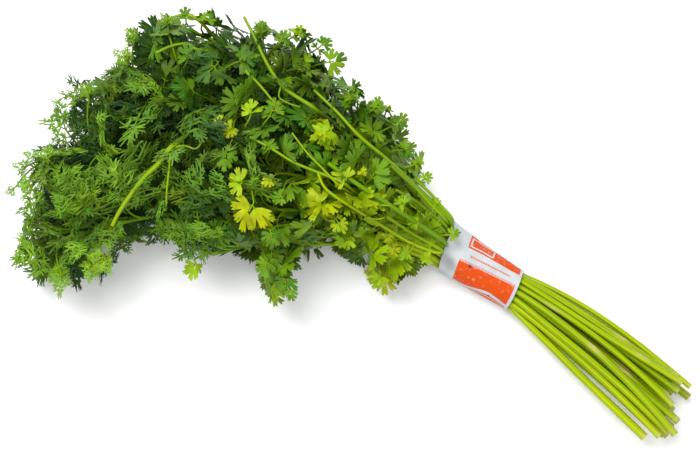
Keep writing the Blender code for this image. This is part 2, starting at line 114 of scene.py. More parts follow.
# The head's outline from above, clockwise from the wrapper's mouth, in millimetres.
HEAD_OUTLINE = [
    (-24, 14), (-38, 18), (-55, 33), (-66, 41), (-82, 47), (-101, 45), (-116, 40), (-128, 50),
    (-145, 58), (-159, 58), (-182, 43), (-205, 38), (-223, 31), (-233, 14), (-240, -17), (-250, -45),
    (-244, -64), (-252, -92), (-232, -104), (-232, -124), (-223, -141), (-203, -138), (-190, -146),
    (-174, -116), (-166, -88), (-150, -82), (-142, -89), (-131, -91), (-121, -72), (-112, -60),
    (-103, -70), (-95, -85), (-80, -82), (-85, -44), (-65, -33), (-52, -41), (-36, -44), (-35, -27),
    (-20, -16),
]

# The leaves. A pair of values is the least and the most, and sizes are tried from the largest down.
COLLAR_LEAVES = 14
COLLAR_STRETCH = (-95 * MM, -34 * MM)
HEAD_LEAVES = 108
HEAD_STRETCH = (-250 * MM, -60 * MM)
LEAF_SIZES = (1, 0.9, 0.8, 0.7)
TIP_LEAF_TRIES = 90
TIP_LEAF_RUN = (7 * MM, 14 * MM)
TIP_LEAF_STRAY, TIP_LEAF_RISE = 0.5, (-0.6, 0.8)
TIP_LEAF_ROOT = 2 * MM
LOWEST_LEAF = 2 * MM
SIDE_LEAF_TRIES = 10
SIDE_LEAF_SWING = math.radians(80)
LEAF_TURN = math.radians(30)
LEAF_WANDER, LEAF_WANDER_UP = 0.3, 0.4
LEAF_NOT_EDGE_ON = 0.5
LEAVES_LEAN_OUT = 0.55
LEAVES_LEAN_AHEAD = 1.2
LEAVES_LEAN_BEYOND = 0.6
PLACES_COMPARED = 0.85
PLACE_DEPTH, PLACES_CROWD_UP = 0.9, 1.3
BROAD_REACH = (16 * MM, 22 * MM)
FEATHERY_REACH = (21 * MM, 28 * MM)
FEATHERY_BEYOND = (-118 * MM, -8 * MM)
FEATHERY_BLEND = 22 * MM
BLADE_THICKNESS = 1.3 * MM
BLADE_ARCH = 0.28
BLADE_SIDE_DROP = 1.5
PETIOLE_RADIUS = (1.0 * MM, 0.55 * MM)
PETIOLE_BEND, PETIOLE_RISE = 0.5, 0.08
PETIOLE_TEST_SIDES, STEM_TEST_SIDES = 4, 6
TABLE_DIP = 5 * MM
LEAF_TIP_AT, LEAF_SIDES_AT = 0.95, (0.3, 0.75)
PETIOLE_CORNER = math.radians(168)
PETIOLE_CORNER_SHARE = 0.13

# How a petiole finds its root: the most leaves that its stem may have, its length, how near the
# mouth and the stem's tip it may spring, the step between places, what a turn of a radian and each
# leaf already there cost in millimetres, and how many of the best places are tried.
PLAIN_ROOTS = {
    "leaves": 6, "length": (14 * MM, 40 * MM), "from": 12 * MM, "short": 6 * MM, "step": 6 * MM,
    "turning": 12, "crowding": 2.5, "tried": 6,
}
FINER_ROOTS = {
    "leaves": 34, "length": (10 * MM, 46 * MM), "from": 8 * MM, "short": 3 * MM, "step": 5 * MM,
    "turning": 12, "crowding": 1.2, "tried": 4,
}

# A blade's lobes are cut to a share of its reach, and each of a lobe's teeth is
# (share of the lobe's width, share of its length).
BROAD_FORM = {
    "lobes": 3,
    "half_sweep": math.radians(134),
    "side_shorter": 0.14,
    "cut": 0.3,
    "teeth": ((-0.4, 0.74), (-0.22, 0.76), (-0.1, 0.96), (0.1, 0.96), (0.22, 0.76), (0.4, 0.74)),
}
FEATHERY_FORM = {
    "lobes": 3,
    "half_sweep": math.radians(140),
    "side_shorter": 0.22,
    "cut": 0.15,
    "teeth": (
        (-0.41, 0.66), (-0.3, 0.76), (-0.17, 0.4), (-0.06, 1), (0.06, 1),
        (0.17, 0.4), (0.3, 0.76), (0.41, 0.66),
    ),
}


def mix(pair, share):
    """The value at that share of the way from the first to the second of a pair."""
    return pair[0] + (pair[1] - pair[0]) * share


def wrapper_section(x):
    """Half width, half height and centre height of the wrapper's outside at x."""
    share = min(max((x - MOUTH_X) / WRAPPER_LENGTH, 0), 1)
    half_height = mix(WRAPPER_HALF_HEIGHT, share)
    return mix(WRAPPER_HALF_WIDTH, share), half_height, half_height - WRAPPER_PRESSED_FLAT


def packing_room(x):
    """Half axes of the ellipse that the stems fill at x."""
    half_width, half_height, _ = wrapper_section(x)
    return (
        half_width - WRAPPER_WALL - GAP,
        half_height - WRAPPER_WALL - WRAPPER_PRESSED_FLAT - GAP,
    )


def packed_slots(draw):
    """(y, z, radius) of each stem about the bundle's centre, where the wrapper is narrowest."""
    room_y, room_z = packing_room(WRAPPER_LENGTH / 2)
    golden_angle = math.pi * (3 - math.sqrt(5))
    slots = []
    for index in range(STEM_COUNT):
        share = math.sqrt((index + 0.5) / STEM_COUNT)
        turn = index * golden_angle
        radius = draw.uniform(*STEM_RADIUS)
        slots.append([room_y * share * math.cos(turn), room_z * share * math.sin(turn), radius])
    for _ in range(PACKING_PASSES):
        for i, one in enumerate(slots):
            for other in slots[i + 1:]:
                apart = Vector((one[0] - other[0], one[1] - other[1]))
                push = (one[2] + other[2] + GAP - apart.length) / 2
                if push > 0:
                    step = apart.normalized() * push
                    one[0] += step.x
                    one[1] += step.y
                    other[0] -= step.x
                    other[1] -= step.y
        for one in slots:
            reach = math.hypot(one[0] / (room_y - one[2]), one[1] / (room_z - one[2]))
            if reach > 1:
                one[0] /= reach
                one[1] /= reach
    return slots


def inside_outline(x, y):
    """Whether a point lies in the head's outline, seen from above."""
    inside = False
    previous = HEAD_OUTLINE[-1]
    for corner in HEAD_OUTLINE:
        (x1, y1), (x2, y2) = previous, corner
        if (y1 * MM > y) != (y2 * MM > y) and x < (x2 + (y / MM - y2) * (x1 - x2) / (y1 - y2)) * MM:
            inside = not inside
        previous = corner
    return inside


def fan_angle(across, reach):
    """Direction in the head of what starts at that share across the mouth, at a distance from it."""
    opened = 1 - math.exp(-reach / FAN_OPENS_OVER)
    return HEAD_BEND * (reach / HEAD_REACH) ** HEAD_BEND_GROWTH + across * HEAD_FAN * opened


def fan_share(x, y):
    """The share across the mouth, -1 to 1, of the fan line that passes over a point of the head."""
    reach = math.hypot(x - MOUTH_X, y)
    angle = math.atan2(y, MOUTH_X - x)
    opened = 1 - math.exp(-reach / FAN_OPENS_OVER) + FAN_SOFTENING
    return (angle - HEAD_BEND * (reach / HEAD_REACH) ** HEAD_BEND_GROWTH) / (HEAD_FAN * opened)


def fan_height(across, up, reach):
    """Height in the head at a share across, a share up from -1 to 1, and a distance from the mouth."""
    room_z = packing_room(MOUTH_X)[1]
    mouth_height = wrapper_section(MOUTH_X)[2] + up * room_z
    risen = 1 - math.exp(-reach / HEAD_RISES_OVER)
    dome = (1 - HEAD_SIDE_DROOP * across**2) * (1 - HEAD_DROOP * (reach / HEAD_REACH) ** 2)
    height = HEAD_LOWEST + (up + 1) / 2 * HEAD_STEM_HEIGHT * dome
    return mix((mouth_height, height), risen)


class Stem:
    """One stem: its route from the cut end to the tip, and its leaves."""

    def __init__(self, index, slot, draw):
        self.name = f"leafy_stem_{index + 1:02d}"
        self.slot_y, self.slot_z, self.radius = slot
        room_y, room_z = packing_room(WRAPPER_LENGTH / 2)
        self.across = self.slot_y / room_y
        self.up = self.slot_z / room_z
        self.cut_x = draw.uniform(*CUT_END_X) - CUT_END_ROUNDING * self.across**2
        self.sway = draw.uniform(-1, 1) * CUT_END_SWAY
        self.tip_share = 1 - SHORT_STEM_SHARE * draw.random() ** 2
        self.tip_reach = self.reach_to_outline() * self.tip_share
        self.leaves = []

    def bundle_point(self, x):
        """Where the stem is at x, in the wrapper or between it and the cut end."""
        narrow = WRAPPER_LENGTH / 2
        room, narrow_room = packing_room(x), packing_room(narrow)
        past = max(x - narrow, 0) / (CUT_END_X[1] - narrow)
        spread = room[0] / narrow_room[0] + CUT_END_FAN * past**CUT_END_FAN_GROWTH
        above_lowest = (self.slot_z + narrow_room[1]) * room[1] / narrow_room[1]
        settle = (WRAPPER_WALL + GAP) * past
        return Vector((
            x,
            self.slot_y * spread + CUT_END_LEAN * past**CUT_END_LEAN_GROWTH + self.sway * past**2,
            wrapper_section(x)[2] - room[1] + above_lowest * (1 + CUT_END_RISE * past) - settle,
        ))

    def head_point(self, reach):
        """Where the stem is at a distance from the wrapper's mouth."""
        mouth = self.bundle_point(MOUTH_X)
        angle = fan_angle(self.across, reach)
        return Vector((
            MOUTH_X - reach * math.cos(angle),
            mouth.y + reach * math.sin(angle),
            fan_height(self.across, self.up, reach),
        ))

    def reach_to_outline(self):
        """How far the stem can run before it is near the head's outline."""
        reach = STEM_GROWS_FROM
        while reach < HEAD_REACH:
            ahead = self.head_point(reach + STEM_STOPS_SHORT)
            if not inside_outline(ahead.x, ahead.y):
                break
            reach += STEM_GROWS_BY
        return reach

    def route(self):
        """Points from the cut end to the tip, and the radius at each."""
        narrow = WRAPPER_LENGTH / 2
        points = [
            self.bundle_point(mix((self.cut_x, narrow), step / CUT_RUN_STEPS))
            for step in range(CUT_RUN_STEPS + 1)
        ]
        radii = [
            self.radius * mix((CUT_END_SWELL, 1), step / CUT_RUN_STEPS)
            for step in range(CUT_RUN_STEPS + 1)
        ]
        for step in range(HEAD_STEPS + 1):
            share = (step / HEAD_STEPS) ** HEAD_STEPS_LENGTHEN
            points.append(self.head_point(self.tip_reach * share))
            radii.append(self.radius * mix((1, TIP_THINNING), share))
        return points, radii

    def direction(self, reach):
        """The stem's direction, towards its tip, at a distance from the mouth."""
        return (self.head_point(reach + MM) - self.head_point(reach - MM)).normalized()


class Leaf:
    """One leaf: the way that its petiole runs, and where and how its blade is set."""

    def __init__(self, petiole, radii, forward, normal, reach, feathery):
        self.petiole, self.petiole_radii = petiole, radii
        self.centre = petiole[-1]
        self.forward, self.normal = forward, normal
        self.side = normal.cross(forward)
        self.reach, self.feathery = reach, feathery
        self.lowest = 0.0

    def place(self, ahead, aside, above):
        """A point of the blade's own frame in the bunch's, no lower than the table."""
        point = self.centre + self.forward * ahead + self.side * aside + self.normal * above
        self.lowest = min(self.lowest, point.z)
        return Vector((point.x, point.y, max(point.z, 0)))

    def blade_points(self):
        """The rim's points, then the middle of the upper and of the lower face."""
        rim = []
        for angle, share in blade_rim(self.feathery):
            ahead = math.cos(angle) * share * self.reach
            aside = math.sin(angle) * share * self.reach
            rim.append(self.place(ahead, aside, -BLADE_ARCH * share**2 * self.reach))
        middle = [self.place(0, 0, BLADE_THICKNESS / 2), self.place(0, 0, -BLADE_THICKNESS / 2)]
        return rim, middle


def blade_rim(feathery):
    """Rim of a blade as (angle from its axis, share of its reach), once round from the petiole."""
    form = FEATHERY_FORM if feathery else BROAD_FORM
    lobes, half_sweep, cut = form["lobes"], form["half_sweep"], form["cut"]
    width = 2 * half_sweep / lobes
    rim = [(-PETIOLE_CORNER, PETIOLE_CORNER_SHARE)]
    for lobe in range(lobes):
        middle = half_sweep * ((2 * lobe + 1) / lobes - 1)
        length = 1 - form["side_shorter"] * (abs(middle) / half_sweep) ** BLADE_SIDE_DROP
        for offset, share in form["teeth"]:
            rim.append((middle + offset * width, share * length))
        if lobe < lobes - 1:
            rim.append((middle + width / 2, cut))
    rim.append((PETIOLE_CORNER, PETIOLE_CORNER_SHARE))
    return rim


def tube_faces(points, radii, sides):
    """Corners and faces of a many-sided tube along points, to test what it would touch."""
    corners, faces = [], []
    for index, point in enumerate(points):
        ahead = points[min(index + 1, len(points) - 1)] - points[max(index - 1, 0)]
        side = ahead.cross(Vector((0, 0, 1))).normalized()
        over = side.cross(ahead).normalized()
        for corner in range(sides):
            turn = 2 * math.pi * corner / sides
            offset = side * math.cos(turn) + over * math.sin(turn)
            corners.append(point + offset * (radii[index] + GAP))
    for ring in range(len(points) - 1):
        for corner in range(sides):
            a = ring * sides + corner
            b = ring * sides + (corner + 1) % sides
            faces.append((a, b, b + sides, a + sides))
    return corners, faces


def blade_faces(leaf):
    """Corners and faces of a leaf's blade."""
    rim, middle = leaf.blade_points()
    count = len(rim)
    faces = [(i, (i + 1) % count, count) for i in range(count)]
    faces += [((i + 1) % count, i, count + 1) for i in range(count)]
    return rim + middle, faces


class Room:
    """What is already in the head, to keep each leaf clear of the other stems and of each blade."""

    def __init__(self):
        self.taken = []

    @staticmethod
    def shape(corners, faces):
        low = Vector(map(min, *corners))
        high = Vector(map(max, *corners))
        return low, high, BVHTree.FromPolygons(corners, faces)

    def add(self, owner, corners, faces):
        self.taken.append((owner, *self.shape(corners, faces)))

    def is_clear(self, corners, faces, skip=None):
        """Whether a shape crosses nothing that is there, apart from the owner to skip."""
        low, high, tree = self.shape(corners, faces)
        for owner, other_low, other_high, other in self.taken:
            if owner is skip:
                continue
            apart = any(low[k] > other_high[k] or high[k] < other_low[k] for k in range(3))
            if not apart and tree.overlap(other):
                return False
        return True


def curved_petiole(start, leaving, end):
    """Three points of a petiole that leaves its stem along it and curves to its leaf."""
    span = (end - start).length
    bend = start + leaving * span * PETIOLE_BEND + Vector((0, 0, span * PETIOLE_RISE))
    middle = start * 0.25 + bend * 0.5 + end * 0.25
    return [start, middle, end], (end - bend).normalized()


def is_feathery(point, blend):
    """Whether a leaf there is one of the head's feathery ones, which are far out on its -Y side."""
    return point.x + blend < FEATHERY_BEYOND[0] and point.y + blend < FEATHERY_BEYOND[1]


def set_leaf(draw, petiole, arriving, upward, size=1):
    """A leaf at the petiole's end, or nothing where its blade can't face the right way."""
    radii = [mix(PETIOLE_RADIUS, step / (len(petiole) - 1)) for step in range(len(petiole))]
    feathery = is_feathery(petiole[-1], draw.uniform(-1, 1) * FEATHERY_BLEND)
    reach = size * draw.uniform(*(FEATHERY_REACH if feathery else BROAD_REACH))
    turned = Matrix.Rotation(draw.uniform(-1, 1) * LEAF_TURN, 3, upward) @ arriving
    normal = upward - turned * upward.dot(turned)
    if normal.length < LEAF_NOT_EDGE_ON:
        return None
    return Leaf(petiole, radii, turned.normalized(), normal.normalized(), reach, feathery)


def facing(draw, point):
    """The way that a leaf at a point faces: up, and outwards near the head's sides."""
    across = fan_share(point.x, point.y)
    outward = Vector((0, across, 0)) * LEAVES_LEAN_OUT
    far = max(0, (MOUTH_X - point.x) / HEAD_REACH - LEAVES_LEAN_BEYOND)
    wander = Vector((draw.gauss(0, 1), draw.gauss(0, 1), draw.gauss(0, LEAF_WANDER_UP)))
    wander *= LEAF_WANDER
    return (Vector((-LEAVES_LEAN_AHEAD * far, 0, 1)) + outward + wander).normalized()


def top_height(x, y):
    """Height of the foliage's upper surface over a point of the table."""
    across = min(max(fan_share(x, y), -WIDEST_SHARE), WIDEST_SHARE)
    reach = math.hypot(x - MOUTH_X, y)
    thickness = FOLIAGE_ABOVE_STEMS * min(reach / FOLIAGE_THICKENS_OVER, 1)
    return fan_height(across, 1, reach) + thickness


def stays_in_head(leaf):
    """Whether a leaf's tip and sides are in the head's outline, and no point is far too low."""
    ahead, aside = LEAF_SIDES_AT[0] * leaf.reach, LEAF_SIDES_AT[1] * leaf.reach
    ends = [leaf.place(LEAF_TIP_AT * leaf.reach, 0, 0)]
    ends += [leaf.place(ahead, side * aside, 0) for side in (-1, 1)]
    return leaf.lowest >= -TABLE_DIP and all(inside_outline(end.x, end.y) for end in ends)


def petiole_faces(leaf):
    """Corners and faces of a leaf's petiole."""
    return tube_faces(leaf.petiole, leaf.petiole_radii, PETIOLE_TEST_SIDES)


def fits(room, leaf, stem):
    """Whether a leaf stays in the head and crosses nothing but its own stem's petiole root."""
    blade = blade_faces(leaf)
    if not stays_in_head(leaf) or not room.is_clear(*blade):
        return False
    return room.is_clear(*petiole_faces(leaf), skip=stem)


def keep(room, leaf, stem):
    """Adds a leaf to its stem, and to what is taken."""
    stem.leaves.append(leaf)
    room.add(leaf, *blade_faces(leaf))
    room.add(stem, *petiole_faces(leaf))


def grow_tip_leaf(room, stem, draw):
    """The leaf that ends a stem, on a last short run in line with it."""
    for attempt in range(TIP_LEAF_TRIES):
        tip = stem.head_point(stem.tip_reach)
        ahead = stem.direction(stem.tip_reach)
        swing = Vector((draw.uniform(-1, 1), draw.uniform(-1, 1), draw.uniform(*TIP_LEAF_RISE)))
        swing *= TIP_LEAF_STRAY
        end = tip + (ahead + swing).normalized() * draw.uniform(*TIP_LEAF_RUN)
        end.z = max(end.z, LOWEST_LEAF)
        petiole, arriving = curved_petiole(tip - ahead * TIP_LEAF_ROOT, ahead, end)
        size = LEAF_SIZES[attempt * len(LEAF_SIZES) // TIP_LEAF_TRIES]
        leaf = set_leaf(draw, petiole, arriving, facing(draw, end), size)
        if leaf and fits(room, leaf, stem):
            keep(room, leaf, stem)
            return


def open_place(draw, taken, stretch):
    """A point of the head that is far from the leaves already set, of a handful drawn."""
    best, most = None, -1
    while best is None or draw.random() < PLACES_COMPARED:
        x = draw.uniform(*stretch)
        y = draw.uniform(*HEAD_SIDES)
        if not inside_outline(x, y):
            continue
        top = top_height(x, y)
        share = 1 - PLACE_DEPTH * draw.random() ** PLACES_CROWD_UP
        point = Vector((x, y, max(top * share, LOWEST_LEAF)))
        clear = min((point - other).length for other in taken)
        if clear > most:
            best, most = point, clear
    return best


def roots_for(stems, end, rule):
    """(stem, distance along it) pairs that a petiole to a point could spring from, best first."""
    shortest, longest = rule["length"]
    found = []
    for stem in stems:
        if len(stem.leaves) > rule["leaves"]:
            continue
        reach = rule["from"]
        while reach < stem.tip_reach - rule["short"]:
            away = end - stem.head_point(reach)
            if shortest < away.length < longest:
                turn = away.angle(stem.direction(reach))
                if turn < SIDE_LEAF_SWING:
                    crowding = rule["crowding"] * len(stem.leaves)
                    cost = away.length / MM + rule["turning"] * turn + crowding
                    found.append((cost, stem.name, stem, reach))
            reach += rule["step"]
    found.sort(key=lambda entry: entry[:2])
    return [(stem, reach) for _, _, stem, reach in found[:rule["tried"]]]


def grow_side_leaf(room, stems, draw, end):
    """Whether a leaf could be grown with its middle at a point, from any stem and at any size."""
    for stem, reach in roots_for(stems, end, PLAIN_ROOTS):
        petiole, arriving = curved_petiole(stem.head_point(reach), stem.direction(reach), end)
        for size in LEAF_SIZES:
            leaf = set_leaf(draw, petiole, arriving, facing(draw, end), size)
            if leaf and fits(room, leaf, stem):
                keep(room, leaf, stem)
                return True
    return False


def grow_side_leaves(room, stems, draw, count, stretch):
    """Leaves along the stems, set where that stretch of the head is still open."""
    taken = [leaf.centre for stem in stems for leaf in stem.leaves]
    tries = count * SIDE_LEAF_TRIES
    while count and tries:
        tries -= 1
        end = open_place(draw, taken, stretch)
        if grow_side_leaf(room, stems, draw, end):
            taken.append(end)
            count -= 1


def grown_bunch():
    """The stems of the bunch, each with its leaves, and the room that they take."""
    draw = random.Random(SEED)
    stems = [Stem(index, slot, draw) for index, slot in enumerate(packed_slots(draw))]
    room = Room()
    for stem in stems:
        points, radii = stem.route()
        room.add(stem, *tube_faces(points, radii, STEM_TEST_SIDES))
    for stem in stems:
        grow_tip_leaf(room, stem, draw)
    grow_side_leaves(room, stems, draw, COLLAR_LEAVES, COLLAR_STRETCH)
    grow_side_leaves(room, stems, draw, HEAD_LEAVES, HEAD_STRETCH)
    return stems, room


# The finer leaves that fill the head. A leaf's core is the share of its reach that crosses no other's.
FILLER_SEED = 23
FILLER_TRIES = 5
FILLER_SIZES = (0.75, 1.1)
FILLER_CORE = 0.5
FILLER_COLLAR_SHARE = 0.1

# The photograph's frame, and where its scale and turn come from.
PHOTO_WIDTH, PHOTO_HEIGHT = 700, 452
PHOTO_SCALE = 0.56 * MM
WRAPPER_PIXEL = (481, 267)
STEMS_TURN = math.radians(31.9)
LENS_MM = 85
SENSOR_MM = 36
CAMERA_ELEVATION = math.radians(80)
SHARP_AT_HEIGHT = 20 * MM
SIGHTINGS = 4

# The photograph's own directions in the bunch's frame: to its right, into its top edge, to its eye.
RIGHT = Vector((math.cos(STEMS_TURN), math.sin(STEMS_TURN), 0))
AHEAD = Vector((-math.sin(STEMS_TURN), math.cos(STEMS_TURN), 0))
ABOVE = Vector((0, 0, 1))
TO_EYE = ABOVE * math.sin(CAMERA_ELEVATION) - AHEAD * math.cos(CAMERA_ELEVATION)
UPRIGHT = TO_EYE.cross(RIGHT)
MIDDLE = (
    RIGHT * (PHOTO_WIDTH / 2 - WRAPPER_PIXEL[0]) * PHOTO_SCALE
    - AHEAD * (PHOTO_HEIGHT / 2 - WRAPPER_PIXEL[1]) * PHOTO_SCALE
    + ABOVE * SHARP_AT_HEIGHT
)
EYE = MIDDLE + TO_EYE * PHOTO_WIDTH * PHOTO_SCALE * LENS_MM / SENSOR_MM


def seen_at(pixel, height):
    """The point at that height which the camera sees at a pixel of the photograph."""
    across, down = pixel[0] - PHOTO_WIDTH / 2, pixel[1] - PHOTO_HEIGHT / 2
    sight = (RIGHT * across - UPRIGHT * down) * SENSOR_MM / (LENS_MM * PHOTO_WIDTH) - TO_EYE
    return EYE + sight * ((height - EYE.z) / sight.z)


def on_top(pixel, lift=0.0):
    """The point that the camera sees at a pixel, that far above the foliage's upper surface."""
    point = seen_at(pixel, HEAD_STEM_HEIGHT)
    for _ in range(SIGHTINGS):
        point = seen_at(pixel, top_height(point.x, point.y) + lift)
    return point


# Patches of the head that show leaves of one kind in the photograph: (pixel, reach in pixels).
YELLOWING = [
    ((252, 208), 15), ((330, 128), 12), ((352, 186), 14), ((368, 205), 14), ((398, 240), 16),
    ((388, 262), 14), ((268, 180), 10), ((325, 208), 14), ((300, 185), 10),
]
DEEP_GREEN = [
    ((190, 70), 70), ((225, 100), 32), ((110, 85), 40), ((40, 170), 30), ((300, 60), 32),
    ((215, 138), 42), ((188, 190), 30), ((252, 150), 30), ((280, 130), 22),
]

# Leaves that lie on top in the photograph: (pixel of the leaf's middle, the way that it points in
# degrees from the photo's right towards its top, reach in pixels, (yellow, lime, deep) of its colour).
TOP_LEAVES = [
    ((254, 204), 236, 31, (1, 1, 0)), ((243, 183), 170, 21, (0.45, 1, 0)),
    ((272, 180), 195, 11, (0.95, 1, 0)), ((283, 197), 200, 13, (0, 0.35, 0)),
    ((233, 128), 215, 14, (0.7, 1, 0)), ((222, 120), 178, 9, (0.85, 1, 0)),
    ((333, 128), 205, 26, (0.3, 1, 0)), ((347, 180), 135, 20, (0.55, 1, 0)),
    ((362, 175), 80, 9, (1, 1, 0.1)), ((322, 206), 150, 26, (0.62, 1, 0)),
    ((338, 222), 300, 14, (0.5, 1, 0)), ((380, 207), 95, 17, (0.25, 0.9, 0)),
    ((387, 233), 280, 12, (0.75, 0.9, 0)), ((394, 247), 265, 12, (1, 0.9, 0)),
    ((381, 275), 240, 17, (0.1, 0.9, 0)), ((252, 114), 95, 17, (0.15, 0.9, 0)),
    ((273, 112), 85, 17, (0, 0.35, 0.3)), ((226, 152), 265, 20, (0, 0.2, 0.4)),
    ((188, 60), 100, 18, (0, 0.3, 0.2)), ((216, 66), 215, 26, (0, 0.05, 0.8)),
    ((238, 61), 10, 24, (0, 0.05, 0.7)), ((140, 80), 200, 24, (0, 0.05, 0.7)),
    ((328, 62), 10, 22, (0, 0.2, 0.3)), ((296, 35), 60, 14, (0, 0.6, 0)),
    ((450, 235), 12, 12, (0, 0.75, 0)), ((196, 262), 250, 18, (0.15, 0.9, 0)),
    ((350, 238), 200, 18, (0.1, 0.8, 0)), ((272, 232), 270, 17, (0, 0.2, 0.4)),
    ((398, 124), 50, 15, (0, 0.15, 0.4)), ((404, 150), 20, 15, (0, 0.25, 0.2)),
    ((414, 165), 40, 13, (0, 0.5, 0)), ((376, 108), 70, 15, (0, 0.25, 0.3)),
    ((352, 100), 100, 14, (0, 0.3, 0.3)), ((405, 205), 150, 14, (0.1, 0.6, 0.1)),
    ((418, 222), 170, 13, (0.1, 0.7, 0)), ((410, 252), 200, 14, (0.1, 0.7, 0)),
    ((286, 278), 265, 20, (0, 0.2, 0.3)), ((268, 262), 240, 18, (0, 0.35, 0.1)),
    ((186, 20), 95, 14, (0, 0.2, 0.4)), ((206, 21), 70, 14, (0, 0.3, 0.2)),
    ((168, 24), 120, 14, (0, 0.2, 0.4)), ((127, 58), 150, 16, (0, 0.3, 0.2)),
    ((28, 182), 190, 18, (0, 0.2, 0.1)), ((24, 168), 160, 14, (0, 0.2, 0.3)),
    ((104, 258), 240, 22, (0, 0.5, 0)), ((92, 268), 255, 16, (0, 0.3, 0)),
    ((62, 275), 260, 20, (0, 0.2, 0.2)), ((322, 46), 50, 14, (0, 0.3, 0.2)),
    ((262, 33), 90, 13, (0, 0.3, 0.2)), ((282, 42), 70, 13, (0, 0.2, 0.4)),
    ((424, 180), 40, 12, (0.1, 0.6, 0)), ((50, 156), 165, 18, (0, 0.3, 0.1)),
    ((34, 158), 150, 13, (0, 0.2, 0.3)), ((90, 92), 140, 15, (0, 0.2, 0.3)),
    ((14, 190), 200, 11, (0, 0.2, 0.1)), ((135, 38), 130, 14, (0, 0.2, 0.4)),
    ((430, 258), 190, 12, (0.2, 0.9, 0)), ((432, 246), 150, 11, (0.1, 0.7, 0)),
    ((437, 205), 140, 10, (0.1, 0.6, 0)), ((303, 66), 60, 15, (0, 0.2, 0.4)),
    ((290, 290), 285, 13, (0, 0.3, 0.1)), ((270, 150), 100, 15, (0, 0.25, 0.3)),
]

# Bare stems that lie on top: (pixels of the route from its foot, radius in millimetres at its foot
# and at its tip, how green it is from 0 for pale lime to 1).
TOP_STEMS = [
    (((446, 219), (430, 204), (408, 179), (383, 156), (359, 136), (338, 113), (314, 90)), (1.3, 0.8), 0.55),
    (((452, 219), (441, 206), (430, 193), (416, 180)), (1.1, 0.8), 0.45),
    (((451, 221), (440, 209), (427, 196), (412, 183)), (1.3, 0.9), 0.75),
    (((452, 224), (442, 212), (430, 200), (416, 190)), (1.1, 0.8), 0.9),
    (((447, 221), (435, 209), (421, 194), (405, 179), (391, 166)), (1.2, 0.9), 0.65),
    (((446, 226), (431, 214), (414, 201), (396, 190)), (1.0, 0.8), 0.75),
    (((314, 108), (300, 99), (284, 88), (273, 74), (263, 56), (254, 36), (244, 17)), (1.2, 0.8), 0.5),
    (((281, 86), (279, 97), (288, 103), (300, 107)), (0.5, 0.4), 0.45),
    (((246, 71), (254, 79), (264, 90), (272, 100)), (0.8, 0.6), 0.4),
    (((175, 145), (160, 162), (147, 175), (136, 188), (127, 200), (118, 214), (112, 226)), (1.5, 1.0), 0.25),
    (((172, 152), (169, 170), (167, 188), (166, 207)), (0.75, 0.5), 0.45),
    (((176, 147), (186, 146), (195, 149), (201, 143), (203, 132)), (0.55, 0.4), 0.4),
    (
        ((440, 253), (428, 250), (405, 240), (376, 222), (350, 206), (336, 197), (324, 187), (318, 173)),
        (0.9, 0.8), 0.0,
    ),
    (((345, 184), (330, 177), (312, 170), (293, 162), (272, 149), (250, 137)), (0.9, 0.7), 0.45),
    (((340, 186), (322, 168), (308, 154), (292, 133)), (0.6, 0.5), 0.35),
    (((444, 242), (420, 225), (391, 206), (360, 186), (328, 163)), (1.5, 1.2), 0.7),
    (((441, 250), (415, 235), (387, 217)), (1.2, 0.9), 0.4),
    (((443, 230), (425, 212), (402, 196)), (1.1, 0.9), 0.7),
    (((199, 50), (187, 44), (171, 46), (156, 53)), (1.0, 0.8), 0.6),
    (((172, 45), (168, 31), (166, 15)), (0.6, 0.5), 0.4),
    (((197, 19), (182, 15), (168, 19)), (1.0, 0.8), 0.1),
]
TOP_LEAF_LIFT = 8.5 * MM
TOP_STEM_LIFT = 7 * MM
TOP_STEM_POINTS = 32
FEATHERY_LEFT_OF = 180

# A leaf or bare stem on top springs from the stem's point nearest to this far behind and below it.
TOP_ROOT_BACK, TOP_ROOT_BELOW = 14 * MM, 12 * MM
# The points that are compared begin this far along each stem, and are this far apart.
TOP_ROOT_FROM, TOP_ROOT_STEP = 1.5 * MM, 5 * MM


def nearness(point, patches):
    """How much a point belongs to a set of patches, from 0 to 1."""
    most = 0.0
    for pixel, reach in patches:
        centre = on_top(pixel)
        away = math.hypot(point.x - centre.x, point.y - centre.y) / (reach * PHOTO_SCALE)
        most = max(most, math.exp(-(away**2)))
    return most


def nearest_root(stems, foot, behind):
    """The stem and the distance along it from which a branch to a foot would best spring."""
    wanted = foot + behind * TOP_ROOT_BACK - ABOVE * TOP_ROOT_BELOW
    found = []
    for stem in stems:
        reach = TOP_ROOT_FROM
        while reach < stem.tip_reach:
            found.append(((stem.head_point(reach) - wanted).length, stem.name, stem, reach))
            reach += TOP_ROOT_STEP
    _, _, stem, reach = min(found, key=lambda entry: entry[:2])
    return stem, reach


def smooth_route(points, count):
    """Points spaced along a curve of cubic pieces that passes smoothly through the given ones."""
    ends = [points[0] * 2 - points[1], *points, points[-1] * 2 - points[-2]]
    curve = []
    for step in range(count):
        share = step / (count - 1) * (len(points) - 1)
        leg = min(int(share), len(points) - 2)
        t = share - leg
        a, b, c, d = ends[leg:leg + 4]
        curve.append((
            b * 2 + (c - a) * t + (a * 2 - b * 5 + c * 4 - d) * t**2 + (b * 3 - a - c * 3 + d) * t**3
        ) / 2)
    return curve


def lay_top_stems(stems):
    """Gives each bare stem that lies on the head to the stem that it would spring from."""
    for pixels, radii, green in TOP_STEMS:
        lies = [on_top(pixel, TOP_STEM_LIFT) for pixel in pixels]
        stem, reach = nearest_root(stems, lies[0], (lies[0] - lies[1]).normalized())
        route = smooth_route([stem.head_point(reach), *lies], TOP_STEM_POINTS)
        stem.branches.append((route, [radius * MM for radius in radii], green))


